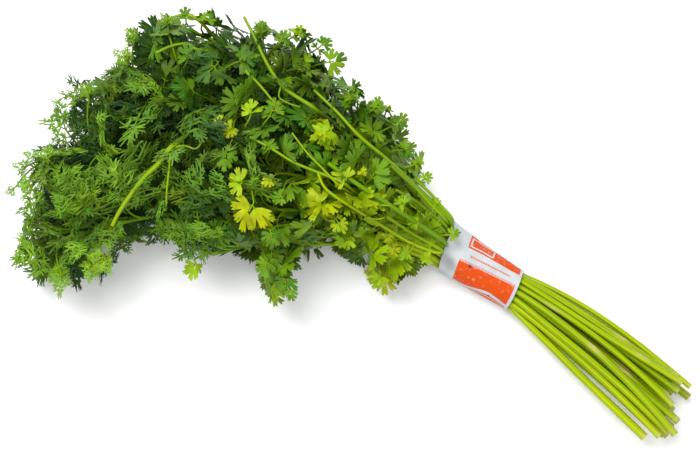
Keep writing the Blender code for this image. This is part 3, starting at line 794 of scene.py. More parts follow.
def lay_top_leaves(stems):
    """Gives each leaf that shows on top in the photograph to the stem that it would spring from."""
    for pixel, heading, reach, tint in TOP_LEAVES:
        turn = math.radians(heading)
        forward = RIGHT * math.cos(turn) + UPRIGHT * math.sin(turn)
        centre = on_top(pixel, TOP_LEAF_LIFT)
        normal = (ABOVE + TO_EYE).normalized()
        forward = (forward - normal * forward.dot(normal)).normalized()
        stem, root = nearest_root(stems, centre, -forward)
        petiole, _ = curved_petiole(stem.head_point(root), stem.direction(root), centre)
        leaf = Leaf(petiole, None, forward, normal, reach * PHOTO_SCALE, pixel[0] < FEATHERY_LEFT_OF)
        stem.top_leaves.append((leaf, tint))


def grow_fillers(room, stems, draw, count):
    """Finer leaves among the plain ones, where the head is still open, with their cores clear."""
    taken = [leaf.centre for stem in stems for leaf in stem.leaves]
    tries = count * FILLER_TRIES
    while count and tries:
        tries -= 1
        collar = draw.random() < FILLER_COLLAR_SHARE
        end = open_place(draw, taken, COLLAR_STRETCH if collar else HEAD_STRETCH)
        for stem, reach in roots_for(stems, end, FINER_ROOTS):
            petiole, arriving = curved_petiole(stem.head_point(reach), stem.direction(reach), end)
            upward, size = facing(draw, end), draw.uniform(*FILLER_SIZES)
            leaf = set_leaf(draw, petiole, arriving, upward, size)
            if leaf and core_fits(room, leaf):
                stem.leaves.append(leaf)
                taken.append(end)
                count -= 1
                break


def core_fits(room, leaf):
    """Whether a leaf stays in the head, and the middle of its blade crosses no other's."""
    if not stays_in_head(leaf):
        return False
    whole = leaf.reach
    leaf.reach = whole * FILLER_CORE
    core = blade_faces(leaf)
    leaf.reach = whole
    if not room.is_clear(*core):
        return False
    room.add(leaf, *core)
    return True


def dressed_bunch(filler_count):
    """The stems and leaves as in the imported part, with fillers and what lies on top added."""
    stems, room = grown_bunch()
    blades = Room()
    blades.taken = [entry for entry in room.taken if isinstance(entry[0], Leaf)]
    for stem in stems:
        stem.branches, stem.top_leaves = [], []
    lay_top_stems(stems)
    lay_top_leaves(stems)
    grow_fillers(blades, stems, random.Random(FILLER_SEED), filler_count)
    return stems


def linear(hex_colour):
    """Scene-linear red, green and blue of an sRGB hex colour such as #5a8f1e."""
    channels = [int(hex_colour[place:place + 2], 16) / 255 for place in (1, 3, 5)]
    return tuple(c / 12.92 if c <= 0.04045 else ((c + 0.055) / 1.055) ** 2.4 for c in channels)


class CorianderSizes(bpy.types.PropertyGroup):
    """Sizes that a user would change."""

    filler_leaves: IntProperty(
        name="Filler leaves", description="Leaves added among those of the packed part",
        default=400, min=0, max=500,
    )
    leaf_thickness: FloatProperty(
        name="Leaf thickness", description="Thickness of a leaf's blade",
        default=0.3 * MM, min=0.1 * MM, max=1 * MM, unit="LENGTH", precision=5,
    )
    stem_rib: FloatProperty(
        name="Stem ribs", description="Depth of the ribs along a stem, as a share of its radius",
        default=0.06, min=0, max=0.3, subtype="FACTOR",
    )
    paper_thickness: FloatProperty(
        name="Paper thickness", description="Thickness of the wrapper's folded paper",
        default=0.35 * MM, min=0.1 * MM, max=1 * MM, unit="LENGTH", precision=5,
    )


def colour_property(name, hex_colour, description):
    return FloatVectorProperty(
        name=name, description=description, subtype="COLOR", size=3, min=0, max=1,
        default=linear(hex_colour),
    )


class CorianderColours(bpy.types.PropertyGroup):
    """Colours that a user would change."""

    # This deep green is also painted as shade on leaves that lie low in the bunch.
    deep_leaf_and_shade: colour_property("Deep leaf", "#274819", "The oldest, darkest leaves")
    fresh_leaf: colour_property("Fresh leaf", "#3f7307", "Most of the leaves")
    feathery_leaf: colour_property("Feathery leaf", "#72a226", "Finely cut leaves far out in the head")
    lime_leaf: colour_property("Lime leaf", "#87a504", "Young leaves near the wrapper")
    yellow_leaf: colour_property("Yellow leaf", "#98a200", "Leaves that have turned")
    stem_lime: colour_property("Stem", "#acb900", "Stems at their cut ends")
    stem_green: colour_property("Stem in the head", "#588204", "Stems among the leaves")
    stem_pith: colour_property("Cut end", "#d9dc9a", "The cut face of a stem")
    paper: colour_property("Paper", "#b4b8bb", "The wrapper's coated paper")
    print_ink: colour_property("Print", "#c24300", "The wrapper's printed panels")


def deselect_all():
    for other in bpy.context.selected_objects:
        other.select_set(False)


def in_edit_mode(*steps):
    """Runs steps of modelling on all of the active object."""
    bpy.ops.object.mode_set(mode="EDIT")
    bpy.ops.mesh.select_all(action="SELECT")
    for step in steps:
        step()
    bpy.ops.object.mode_set(mode="OBJECT")


class Pattern:
    """A modelled shape, read once, to be copied and laid in place many times."""

    def __init__(self, made):
        mesh = made.data
        self.points = numpy.empty(len(mesh.vertices) * 3)
        mesh.vertices.foreach_get("co", self.points)
        self.points = self.points.reshape(-1, 3)
        self.corners = numpy.empty(len(mesh.loops), dtype=int)
        mesh.loops.foreach_get("vertex_index", self.corners)
        self.sides = numpy.empty(len(mesh.polygons), dtype=int)
        mesh.polygons.foreach_get("loop_total", self.sides)
        self.finishes = numpy.empty(len(mesh.polygons), dtype=int)
        mesh.polygons.foreach_get("material_index", self.finishes)
        bpy.data.objects.remove(made)
        bpy.data.meshes.remove(mesh)


# Leaflets: angles are from the midrib, about the leaflet's base, and lengths are shares of its own.
# A lobe is (middle angle, half width, length), for one side, with the middle lobe first.
BROAD_LOBES = ((0, 14, 1.0), (39, 16, 0.86))
BROAD_TEETH = 3
BROAD_SINUS = 0.42
CUT_LOBES = ((0, 12, 1.0), (33, 12, 0.88), (64, 12, 0.68))
CUT_TEETH = 2
CUT_SINUS = 0.34
TOOTH_DEPTH = 0.15
TOOTH_ROUNDING = 0.07
BASE_ANGLES = ((64, 0.34),)
LOBE_TAPER = 0.1
SINUS_RANGE, TOOTH_RANGE = (0.9, 1.1), (0.97, 1.03)
TOOTH_SHOULDER = 0.3
INNER_RING = 0.55
INNER_RING_MOST = 0.72
MERGE_WITHIN = 0.0001
LEAFLET_LENGTH = 12 * MM

# Feathery sprays, in shares of a spray's length. A pinna is (start along the spray, angle, length),
# and a finger of it (start along the pinna, angle, length). Each finger is two slivers that part.
PINNAE = ((0.1, 66, 0.44), (0.28, 58, 0.46), (0.48, 48, 0.4), (0.6, 0, 0.42))
FINGERS = ((0.0, 0, 1.0), (0.32, -44, 0.66), (0.32, 44, 0.66))
FORK_SPREAD = 9
FINGER_WIDTH = 0.082
MIDRIB_WIDTH = 0.05
MIDRIB_LENGTH = 0.7
SLIVER_TIP = 0.45
SLIVER_FLATNESS = 0.4
PINNA_STRAY, PINNA_TURN, PINNA_RANGE = 0.05, 8, (0.85, 1.15)
FORK_RANGE, FINGER_RANGE = (0.6, 1.5), (0.75, 1.1)
SPRAY_TILT = 0.25

# A spray's curl, in shares of its length, and its waves a length in x, in y and in z.
SPRAY_CURL = 0.06
CURL_RATES = (10, 9, (8, 7))


def toothed_rim(draw, lobes, teeth, sinus):
    """Rim of a lobed leaflet as (angle, share of its length), from its left side to its right."""
    spans = [(math.radians(-a), math.radians(w), length) for a, w, length in reversed(lobes[1:])]
    spans += [(math.radians(a), math.radians(w), length) for a, w, length in lobes]
    rim = [(-math.radians(angle), share) for angle, share in reversed(BASE_ANGLES)]
    for number, (middle, half_width, length) in enumerate(spans):
        if number:
            before = spans[number - 1]
            between = (before[0] + before[1] + middle - half_width) / 2
            rim.append((between, sinus * draw.uniform(*SINUS_RANGE)))
        step = 2 * half_width / teeth
        for tooth in range(teeth):
            angle = middle - half_width + step * (tooth + 0.5)
            out = abs(angle - middle) / half_width
            share = length * (1 - LOBE_TAPER * out**2) * draw.uniform(*TOOTH_RANGE)
            if tooth:
                rim.append((angle - step / 2, share * (1 - TOOTH_DEPTH)))
            shoulder = TOOTH_SHOULDER * step
            for turn, drop in ((-shoulder, TOOTH_ROUNDING), (0, 0), (shoulder, TOOTH_ROUNDING)):
                rim.append((angle + turn, share * (1 - drop)))
    rim += [(math.radians(angle), share) for angle, share in BASE_ANGLES]
    return sorted(rim)


def fan_sheet(rim, thickness):
    """A leaflet: a grid with its near side drawn together at the base, then given its thickness."""
    deselect_all()
    columns, rows = len(rim) - 1, 2
    bpy.ops.mesh.primitive_grid_add(x_subdivisions=columns, y_subdivisions=rows, size=1)
    sheet = bpy.context.object
    for vertex in sheet.data.vertices:
        angle, share = rim[columns - round((vertex.co.x + 0.5) * columns)]
        row = round((vertex.co.y + 0.5) * rows)
        if row == 0:
            share = 0
        elif row < rows:
            share = INNER_RING * min(share, INNER_RING_MOST)
        vertex.co = (share * math.cos(angle), share * math.sin(angle), 0)
    in_edit_mode(lambda: bpy.ops.mesh.remove_doubles(threshold=MERGE_WITHIN))
    wall = sheet.modifiers.new("blade", "SOLIDIFY")
    wall.thickness = thickness
    wall.offset = 0
    bpy.ops.object.modifier_apply(modifier=wall.name)
    return sheet


def sliver(start, end, width):
    """A narrow, flat bit of leaf from one point to another, keeled along its middle."""
    along = end - start
    bpy.ops.mesh.primitive_cone_add(
        vertices=3, radius1=width / 2, radius2=SLIVER_TIP * width / 2, depth=along.length,
        location=(start + end) / 2, rotation=along.to_track_quat("Z", "Y").to_euler(),
    )
    bpy.context.object.scale.y = SLIVER_FLATNESS
    bpy.ops.object.transform_apply()
    return bpy.context.object


def aimed(draw, degrees, length):
    """A step of that length in the flat at about that angle, a little up or down."""
    turn = math.radians(degrees)
    return Vector((math.cos(turn), math.sin(turn), draw.uniform(-SPRAY_TILT, SPRAY_TILT))) * length


def feathery_spray(draw):
    """A spray: fingered pinnae in pairs along a thin midrib, joined in one pattern and curled."""
    deselect_all()
    midrib = sliver(Vector(), Vector((MIDRIB_LENGTH, 0, 0)), MIDRIB_WIDTH)
    parts = [midrib]
    for start, degrees, length in PINNAE:
        for side in (-1, 1) if degrees else (1,):
            foot = Vector((start + draw.uniform(-PINNA_STRAY, PINNA_STRAY), 0, 0))
            turned = side * degrees + draw.uniform(-PINNA_TURN, PINNA_TURN)
            axis = aimed(draw, turned, length * draw.uniform(*PINNA_RANGE))
            for place, swing, share in FINGERS:
                base = foot + axis * place
                for fork in (-1, 1):
                    heading = turned + swing + fork * FORK_SPREAD * draw.uniform(*FORK_RANGE)
                    tip = base + aimed(draw, heading, length * share * draw.uniform(*FINGER_RANGE))
                    parts.append(sliver(base, tip, FINGER_WIDTH))
    deselect_all()
    for made in parts:
        made.select_set(True)
    bpy.context.view_layer.objects.active = midrib
    bpy.ops.object.join()
    phase = draw.uniform(0, 2 * math.pi)
    in_x, in_y, in_z = CURL_RATES
    for vertex in midrib.data.vertices:
        x, y, _ = vertex.co
        vertex.co.x += SPRAY_CURL * math.sin(in_x * y + phase)
        vertex.co.y += SPRAY_CURL * math.sin(in_y * x + phase)
        vertex.co.z += SPRAY_CURL * math.sin(in_z[0] * x + in_z[1] * y + phase)
    return midrib


def select_faces(made, chosen):
    """Selects the faces that a test picks, in edit mode after it."""
    bpy.ops.object.mode_set(mode="OBJECT")
    for kind in (made.data.vertices, made.data.edges, made.data.polygons):
        kind.foreach_set("select", [False] * len(kind))
    for face in made.data.polygons:
        face.select = chosen(face)
    bpy.ops.object.mode_set(mode="EDIT")


# The finishes of a piece, in the order of its material slots.
STEM_SKIN, LEAF_BLADE, CUT_FACE = range(3)

STEM_SIDES = 12
STEM_RINGS = 72
PETIOLE_SIDES = 5
PETIOLE_RINGS = 7
STALK_SIDES = 4
BRANCH_SIDES = 8

# A stem's cut end: its wall and its pith, in shares of its radius, and how far the pith is sunk, as
# a share of the stem's length. Its faces are those whose normal is lower than the last value.
WALL_INSET, PITH_INSET, PITH_SUNK = 0.16, 0.34, 0.0035
LOOKS_DOWN = -0.5


def rod(sides, rings, rib=0.0, hollow=False):
    """A rod from z = 0 to z = 1, ribbed along its length, with a cut face at z = 0."""
    deselect_all()
    bpy.ops.mesh.primitive_cylinder_add(vertices=sides, radius=1, depth=1, location=(0, 0, 0.5))
    made = bpy.context.object
    bpy.ops.object.transform_apply()
    bpy.ops.object.mode_set(mode="EDIT")
    bpy.ops.mesh.select_mode(type="EDGE")
    bpy.ops.mesh.select_all(action="DESELECT")
    bpy.ops.object.mode_set(mode="OBJECT")
    for edge in made.data.edges:
        ends = [made.data.vertices[corner].co.z for corner in edge.vertices]
        edge.select = abs(ends[0] - ends[1]) > 0.5
    bpy.ops.object.mode_set(mode="EDIT")
    bpy.ops.mesh.subdivide(number_cuts=rings)
    bpy.ops.mesh.select_mode(type="FACE")
    bpy.ops.object.mode_set(mode="OBJECT")
    for vertex in made.data.vertices:
        turn = math.atan2(vertex.co.y, vertex.co.x)
        drawn_in = 1 - rib * (1 - math.cos(turn * sides / 2)) / 2
        vertex.co.x *= drawn_in
        vertex.co.y *= drawn_in
    if hollow:
        select_faces(made, lambda face: face.normal.z < LOOKS_DOWN)
        bpy.ops.mesh.inset(thickness=WALL_INSET)
        bpy.ops.object.mode_set(mode="OBJECT")
        for face in made.data.polygons:
            if face.normal.z < LOOKS_DOWN:
                face.material_index = CUT_FACE
        select_faces(made, lambda face: face.normal.z < LOOKS_DOWN and len(face.vertices) == sides)
        bpy.ops.mesh.inset(thickness=PITH_INSET)
        bpy.ops.transform.translate(value=(0, 0, PITH_SUNK))
        bpy.ops.object.mode_set(mode="OBJECT")
    return made


GROWTH_SMOOTHING = math.radians(50)


class Growth:
    """The copies of the patterns that make up one leafy stem, to be fused in one mesh."""

    def __init__(self):
        self.points, self.lies, self.tints = [], [], []
        self.corners, self.sides, self.finishes = [], [], []
        self.count = 0

    def add(self, pattern, points, lie, tint, finish=None):
        """A copy of a pattern with its points moved. lie places the finish's marks on it."""
        self.points.append(points)
        self.lies.append(lie)
        self.tints.append(numpy.broadcast_to(tint, points.shape))
        self.corners.append(pattern.corners + self.count)
        self.sides.append(pattern.sides)
        same = numpy.full(len(pattern.sides), finish)
        self.finishes.append(pattern.finishes if finish is None else same)
        self.count += len(points)

    def as_piece(self, name, finishes):
        """One object of all the copies, with smooth shading."""
        mesh = bpy.data.meshes.new(name)
        corners, sides = numpy.concatenate(self.corners), numpy.concatenate(self.sides)
        mesh.vertices.add(self.count)
        mesh.vertices.foreach_set("co", numpy.concatenate(self.points).ravel())
        mesh.loops.add(len(corners))
        mesh.loops.foreach_set("vertex_index", corners)
        mesh.polygons.add(len(sides))
        mesh.polygons.foreach_set("loop_start", numpy.cumsum(sides) - sides)
        mesh.polygons.foreach_set("loop_total", sides)
        mesh.polygons.foreach_set("material_index", numpy.concatenate(self.finishes))
        mesh.update(calc_edges=True)
        for attribute, values in (("lie", self.lies), ("tint", self.tints)):
            made = mesh.attributes.new(attribute, "FLOAT_VECTOR", "POINT")
            made.data.foreach_set("vector", numpy.concatenate(values).ravel())
        for finish in finishes:
            mesh.materials.append(finish)
        piece = bpy.data.objects.new(name, mesh)
        bpy.context.scene.collection.objects.link(piece)
        deselect_all()
        piece.select_set(True)
        bpy.context.view_layer.objects.active = piece
        bpy.ops.object.shade_smooth_by_angle(angle=GROWTH_SMOOTHING)
        return piece


def lay_along(pattern, route, radii):
    """A rod's points laid along a route, and how far along it each one is."""
    route = numpy.array(route)
    steps = numpy.linalg.norm(numpy.diff(route, axis=0), axis=1)
    along = numpy.concatenate([[0], numpy.cumsum(steps)])
    ahead = numpy.gradient(route, axis=0)
    place = numpy.clip(pattern.points[:, 2], 0, 1) * along[-1]

    def between(values):
        return numpy.stack([numpy.interp(place, along, column) for column in values.T], axis=1)

    ahead = between(ahead)
    ahead /= numpy.linalg.norm(ahead, axis=1, keepdims=True)
    side = numpy.cross(ahead, (0, 0, 1))
    side /= numpy.linalg.norm(side, axis=1, keepdims=True)
    over = numpy.cross(side, ahead)
    radius = numpy.interp(place, along, radii)[:, None]
    x, y = pattern.points[:, :1], pattern.points[:, 1:2]
    return between(route) + (side * x - over * y) * radius, place


CENTIMETRE = 10 * MM


def rod_lie(pattern, place):
    """Marks on a rod follow its skin: round it in x and y, and along it in z, in centimetres."""
    return numpy.column_stack([pattern.points[:, :2], place / CENTIMETRE])


# How leaflets bend, in radians a length, the waves of their rim, and how high a resting one lies.
DROOPS, FOLDS, TWISTS = (0.1, 0.9), (-0.5, 0.35), (-0.5, 0.5)
FEATHERY_FOLDS = 0.5
FOLD_CURVE = 1.4
RIM_WAVE_HEIGHTS, RIM_WAVES, RIM_WAVE_FROM = (0.02, 0.07), 5, 0.15
RESTS_AT = (0, 2 * MM)


class Bend:
    """How one leaflet is bent out of flat: its droop, fold, twist and waves."""

    def __init__(self, draw, feathery):
        self.droop = draw.uniform(*DROOPS)
        self.fold = draw.uniform(*FOLDS) * (FEATHERY_FOLDS if feathery else 1)
        self.twist = draw.uniform(*TWISTS)
        self.wave = draw.uniform(*RIM_WAVE_HEIGHTS)
        self.phase = draw.uniform(0, 2 * math.pi)
        self.rests = draw.uniform(*RESTS_AT)

    def apply(self, points):
        x, y, z = points.T
        turn = numpy.arctan2(y, x + RIM_WAVE_FROM)
        far = numpy.hypot(x, y)
        z = z - self.fold * numpy.abs(y) ** FOLD_CURVE
        z = z + self.wave * numpy.sin(RIM_WAVES * turn + self.phase) * far**2
        cos, sin = numpy.cos(self.twist * x), numpy.sin(self.twist * x)
        y, z = y * cos - z * sin, y * sin + z * cos
        cos, sin = numpy.cos(self.droop * x), numpy.sin(self.droop * x)
        return numpy.column_stack([
            sin / self.droop + z * sin, y, z * cos - (1 - cos) / self.droop,
        ])


# The lowest that a leaf lies, the height above which it is pressed down, and the share of its rise
# above that height that is left to it.
LEAF_LIES_AT = 0.2 * MM
CEILING = 72 * MM
CEILING_GIVES = 0.35
BROAD_KIND, FEATHERY_KIND = 0.0, 1.0


def add_leaflet(growth, pattern, base, forward, normal, length, bend, kind, tint):
    """A bent copy of a leaflet, set with its base at a point and its midrib forward."""
    normal = (normal - forward * normal.dot(forward)).normalized()
    axes = numpy.array([forward, normal.cross(forward), normal])
    points = numpy.array(base) + bend.apply(pattern.points) @ axes * length
    lies_at = LEAF_LIES_AT + bend.rests + (pattern.points[:, 2] - pattern.points[:, 2].min()) * length
    points[:, 2] = numpy.maximum(points[:, 2], lies_at)
    over = numpy.maximum(points[:, 2] - CEILING, 0)
    points[:, 2] -= over * (1 - CEILING_GIVES)
    lie = pattern.points.copy()
    lie[:, 2] = kind
    growth.add(pattern, points, lie, tint, LEAF_BLADE)


# Leaflets of a leaf: (start ahead of the leaf's middle, angle, stalk, length), as shares of its reach.
BROAD_LEAF = ((0.28, 0, 0.04, 0.7), (0.06, 58, 0.08, 0.66), (0.06, -58, 0.08, 0.66))
BROAD_LOWER_PAIR = ((-0.42, 74, 0.12, 0.46), (-0.42, -74, 0.12, 0.46))
FROND = ((0.2, 0, 0.05, 0.82), (-0.05, 50, 0.08, 0.72), (-0.05, -50, 0.08, 0.72))
FROND_LOWER_PAIR = ((-0.4, 66, 0.1, 0.56), (-0.4, -66, 0.1, 0.56))
FULLER_SHARE = 0.5

# How leaflets stray from their places, as ranges and shares of their own measure.
LEAFLET_TILT = 0.26
SWING_RANGE, SAG_RANGE = (0.8, 1.2), (-0.1, 0.35)
ROOT_RANGE, LENGTH_RANGE = (0.85, 1.1), (0.85, 1.12)
STALK_REACHES_IN = 0.1
LEAFLET_LIME_SPREAD = 0.12
CUT_LEAF_SHARE, CUT_LEAVES_IN_DEEP = 0.3, 0.45
PETIOLE_RADII = (0.95 * MM, 0.65 * MM, 0.42 * MM)
STALK_RADIUS = 0.38 * MM
PETIOLE_GREEN, PETIOLE_LIME = 0.8, 0.45

# What turns a leaf yellow, lime or deep green, as ranges and shares. Leaves are lime as far out as
# LIME_FROM from the wrapper's middle, and less and less over the next stretch. Leaves that lie low
# under the foliage's upper surface get painted shade: they are darker and less lime.
YELLOWING_RANGE = (0.1, 1.1)
LIME_FROM, LIME_OVER = 36 * MM, 84 * MM
LIME_RANGE, LIME_STRAY = (0.3, 1.0), 0.25
DEEP_RANGE, DEEP_STRAY = (0.4, 1.0), 0.3
PAINTED_SHADE_OVER = 18 * MM
SHADE_DEEPENS, SHADE_TAKES_LIME = 0.85, 0.5


def leaf_tint(point, draw):
    """How yellow, how lime and how deep green a leaf at a point is, with painted shade where it lies low."""
    yellow = nearness(point, YELLOWING) * draw.uniform(*YELLOWING_RANGE)
    near_wrapper = min(max(1 + (point.x + LIME_FROM) / LIME_OVER, 0), 1)
    lime = near_wrapper * draw.uniform(*LIME_RANGE) + LIME_STRAY * draw.random() + yellow
    # Painted shade: the further below the foliage's top a leaf lies, the darker and less lime it is.
    buried_shade = (top_height(point.x, point.y) - point.z) / PAINTED_SHADE_OVER
    deep_and_shade = nearness(point, DEEP_GREEN) * draw.uniform(*DEEP_RANGE) + DEEP_STRAY * draw.random()
    deep_and_shade = min(max(deep_and_shade + SHADE_DEEPENS * buried_shade, 0), 1)
    lime = min(lime, 1) * (1 - SHADE_TAKES_LIME * min(max(buried_shade, 0), 1))
    return min(yellow, 1), lime, deep_and_shade


def spot_on(axis, along, at):
    """The point at a distance along an axis."""
    return Vector([float(numpy.interp(at, along, axis[:, k])) for k in range(3)])


def add_leaf(growth, leaf, patterns, draw, tint=None):
    """A petiole with its leaflets, each on its own short stalk. A leaf with its own tint is broad."""
    cut_share = CUT_LEAF_SHARE + CUT_LEAVES_IN_DEEP * nearness(leaf.centre, DEEP_GREEN)
    cut_share = 0 if tint else cut_share
    tint = tint or leaf_tint(leaf.centre, draw)
    sprigs = FROND if leaf.feathery else BROAD_LEAF
    if draw.random() < FULLER_SHARE:
        sprigs += FROND_LOWER_PAIR if leaf.feathery else BROAD_LOWER_PAIR
    axis = smooth_petiole(leaf.petiole)
    middle_at = sum((b - a).length for a, b in zip(axis, axis[1:]))
    axis.append(leaf.centre + leaf.forward * sprigs[0][0] * leaf.reach)
    radii = numpy.interp(range(len(axis)), (0, 2, len(axis) - 1), PETIOLE_RADII)
    points, place = lay_along(patterns["petiole"], axis, radii)
    points[:, 2] = numpy.maximum(points[:, 2], LEAF_LIES_AT)
    stem_tint = (PETIOLE_GREEN - PETIOLE_LIME * tint[1], 0.0, draw.random())
    growth.add(patterns["petiole"], points, rod_lie(patterns["petiole"], place), stem_tint, STEM_SKIN)
    axis = numpy.array(axis)
    steps = numpy.linalg.norm(numpy.diff(axis, axis=0), axis=1)
    along = numpy.concatenate([[0], numpy.cumsum(steps)])
    kind = "feathery" if leaf.feathery else "cut" if draw.random() < cut_share else "broad"
    for ahead, degrees, stalk, share in sprigs:
        turn = math.radians(degrees * draw.uniform(*SWING_RANGE))
        forward = leaf.forward * math.cos(turn) + leaf.side * math.sin(turn)
        forward = (forward - leaf.normal * draw.uniform(*SAG_RANGE)).normalized()
        root = spot_on(axis, along, middle_at + ahead * leaf.reach * draw.uniform(*ROOT_RANGE))
        base = root + forward * stalk * leaf.reach
        length = share * leaf.reach * draw.uniform(*LENGTH_RANGE)
        if degrees:
            end = base + forward * STALK_REACHES_IN * length
            laid, place = lay_along(patterns["stalk"], [root, end], [STALK_RADIUS] * 2)
            laid[:, 2] = numpy.maximum(laid[:, 2], LEAF_LIES_AT)
            growth.add(patterns["stalk"], laid, rod_lie(patterns["stalk"], place), stem_tint, STEM_SKIN)
        tilt = Vector([draw.gauss(0, LEAFLET_TILT) for _ in range(3)])
        normal = (leaf.normal + tilt).normalized()
        own_lime = min(max(tint[1] + LEAFLET_LIME_SPREAD * draw.gauss(0, 1), 0), 1)
        add_leaflet(
            growth, draw.choice(patterns[kind]), base, forward, normal, length,
            Bend(draw, leaf.feathery), FEATHERY_KIND if leaf.feathery else BROAD_KIND,
            (tint[0], own_lime, tint[2]),
        )


def smooth_petiole(petiole):
    """Points on a smooth curve through a petiole's start, middle and end."""
    start, middle, end = petiole
    bend = middle * 2 - (start + end) * 0.5
    shares = [step / PETIOLE_RINGS for step in range(PETIOLE_RINGS + 1)]
    return [start * (1 - s) ** 2 + bend * 2 * s * (1 - s) + end * s**2 for s in shares]


# Stems that lie loose in the photograph: how far each bows aside midway to its cut end, how far
# its cut end strays aside, and how far it rides over its neighbours, in millimetres.
LOOSE_STEMS = {
    "leafy_stem_22": (1.6, -3.5, 1.0),
    "leafy_stem_17": (-1.2, -1.5, 1.0),
    "leafy_stem_25": (-1.5, 3.0, 2.0),
    "leafy_stem_12": (1.0, -2.0, 1.5),
    "leafy_stem_20": (1.5, -7.5, 3.5),
    "leafy_stem_07": (-1.0, 2.0, 0.5),
    "leafy_stem_15": (-0.8, 1.5, 0.0),
    "leafy_stem_23": (1.2, 1.5, 0.5),
    "leafy_stem_18": (-2.6, -1.0, 0.0),
    "leafy_stem_26": (0.8, 2.5, 0.0),
}

# A stem's close route: its points, from the cut end to just before the mouth and on to the tip, and
# then how it sways in the two runs, and where its node swells it.
CUT_RUN_POINTS, HEAD_RUN_POINTS = 61, 61
CUT_RUN_STOPS_SHORT = 2 * MM
RIDE_CURVE = 1.5
STEM_SWAY, SWAY_RANGE, SWAY_PHASES = 1.0 * MM, (0.5, 1), (0, 6)
NODE_STRETCH = (8 * MM, 100 * MM)
NODE_REACH = 2.2 * MM
NODE_SWELL = 0.16
TIP_SWAY, TIP_LIFT = 0.9 * MM, 0.5 * MM
CUT_RUN_WAVE, TIP_SWAY_WAVE, TIP_LIFT_WAVE = 24 * MM, 15 * MM, 19 * MM


def fine_route(stem, draw):
    """Close points along a stem, with the sway of a grown thing, and the radius at each."""
    narrow = WRAPPER_LENGTH / 2
    phase, sway = draw.uniform(*SWAY_PHASES), draw.uniform(*SWAY_RANGE) * STEM_SWAY
    bows, strays, rides = LOOSE_STEMS.get(stem.name, (0, 0, 0))
    stem.node_at = draw.uniform(*NODE_STRETCH)
    points, radii = [], []
    for step in range(CUT_RUN_POINTS):
        x = mix((stem.cut_x, MOUTH_X + CUT_RUN_STOPS_SHORT), step / (CUT_RUN_POINTS - 1))
        past = max(x - narrow, 0) / (CUT_END_X[1] - narrow)
        point = stem.bundle_point(x)
        point.y += sway * past * math.sin(phase + x / CUT_RUN_WAVE)
        point.y += (strays * past**2 + bows * math.sin(math.pi * past)) * MM
        point.z += rides * MM * past**RIDE_CURVE
        points.append(point)
        swell = NODE_SWELL * math.exp(-(((stem.cut_x - x - stem.node_at) / NODE_REACH) ** 2))
        radii.append(stem.radius * (1 + (CUT_END_SWELL - 1) * past + swell))
    for step in range(1, HEAD_RUN_POINTS):
        share = step / (HEAD_RUN_POINTS - 1)
        reach = stem.tip_reach * share
        point = stem.head_point(reach)
        point.y += TIP_SWAY * share * math.sin(phase + reach / TIP_SWAY_WAVE)
        point.z += TIP_LIFT * share * math.cos(phase + reach / TIP_LIFT_WAVE)
        points.append(point)
        radii.append(stem.radius * mix((1, TIP_THINNING), share))
    return points, radii


def add_branch(growth, pattern, route, radii, tint):
    """A bare stem along a route, which thins evenly to its tip."""
    laid, place = lay_along(pattern, route, numpy.linspace(*radii, len(route)))
    laid[:, 2] = numpy.maximum(laid[:, 2], LEAF_LIES_AT)
    growth.add(pattern, laid, rod_lie(pattern, place), tint, STEM_SKIN)


SCAR_REACH = 4.5 * MM
SCARRED_SHARE = 0.7
STEM_GREENS_OVER = 90 * MM
FOOT_REACH, FOOT_TAN = 2 * MM, 0.6
SCAR_ROUND = 0.5


def stem_tints(place, stem, draw, points):
    """Along a stem: how green it is, the tan of its node's scar and its cut end, and its own shade."""
    to_head = numpy.clip((place - (stem.cut_x - MOUTH_X)) / STEM_GREENS_OVER, 0, 1)
    turn = numpy.arctan2(points[:, 1], points[:, 0]) - draw.uniform(0, 2 * math.pi)
    facing = numpy.cos(turn)
    beyond = (place - stem.node_at) / SCAR_REACH
    scar = numpy.exp(-(beyond**2)) * numpy.clip(facing + SCAR_ROUND, 0, 1)
    scar = scar * (draw.random() < SCARRED_SHARE)
    foot = numpy.exp(-place / FOOT_REACH) * FOOT_TAN
    shade = draw.random()
    return numpy.column_stack([to_head, numpy.maximum(scar, foot), numpy.full(len(place), shade)])


def add_node(tree, kind, inputs=(), **settings):
    """Adds a node. settings are its own options, and inputs are sockets with a value or a link."""
    made = tree.nodes.new(kind)
    for name, value in settings.items():
        setattr(made, name, value)
    for socket, value in dict(inputs).items():
        if isinstance(value, bpy.types.NodeSocket):
            tree.links.new(value, made.inputs[socket])
        else:
            made.inputs[socket].default_value = value
    return made


def blank_finish(name):
    """A material with only its shader and output, and its node tree."""
    made = bpy.data.materials.new(name)
    made.use_nodes = True
    return made, made.node_tree, made.node_tree.nodes["Principled BSDF"]


def opaque(colour):
    return (*colour, 1)


def coated(tree, ground, coats):
    """A colour with coats laid over it in turn, each one as (how much of it shows, its colour)."""
    for share, coat in coats:
        ground = add_node(tree, "ShaderNodeMix", {
            "Factor": share, 6: ground, 7: opaque(coat),
        }, data_type="RGBA").outputs[2]
    return ground


# Veins of a leaflet: the angle between them, their width as a share of its length, and how pale and
# how deep they are. Between them is a net of finer ones, drawn at 0.9 mm, coarser than the real
# 0.3 mm so that it shows.
VEIN_ANGLE = math.radians(21)
VEIN_WIDTH = 0.022
VEIN_PALENESS = 0.35
VEIN_DEPTH = 0.6
NET_CELLS = 13.0
NET_UNEVENNESS = 0.9

# A leaf's green varies in patches of about 6 mm: features a metre, their range, and what it does.
MOTTLE_SCALE = 160.0
MOTTLE_RANGE = (0.3, 0.7)
MOTTLE_BRIGHTNESS = (0.72, 1.22)

# A leaf yellows from its rim, which is this much ahead, and its yellowing shows between the two.
YELLOW_RIM = 0.4
YELLOW_FROM, YELLOW_TO = 0.45, 1.1

LEAF_BUMP, LEAF_RELIEF = 0.45, 0.4 * MM
LEAF_ROUGHNESS, LEAF_SPECULAR, LEAF_IOR = 0.48, 0.2, 1.42


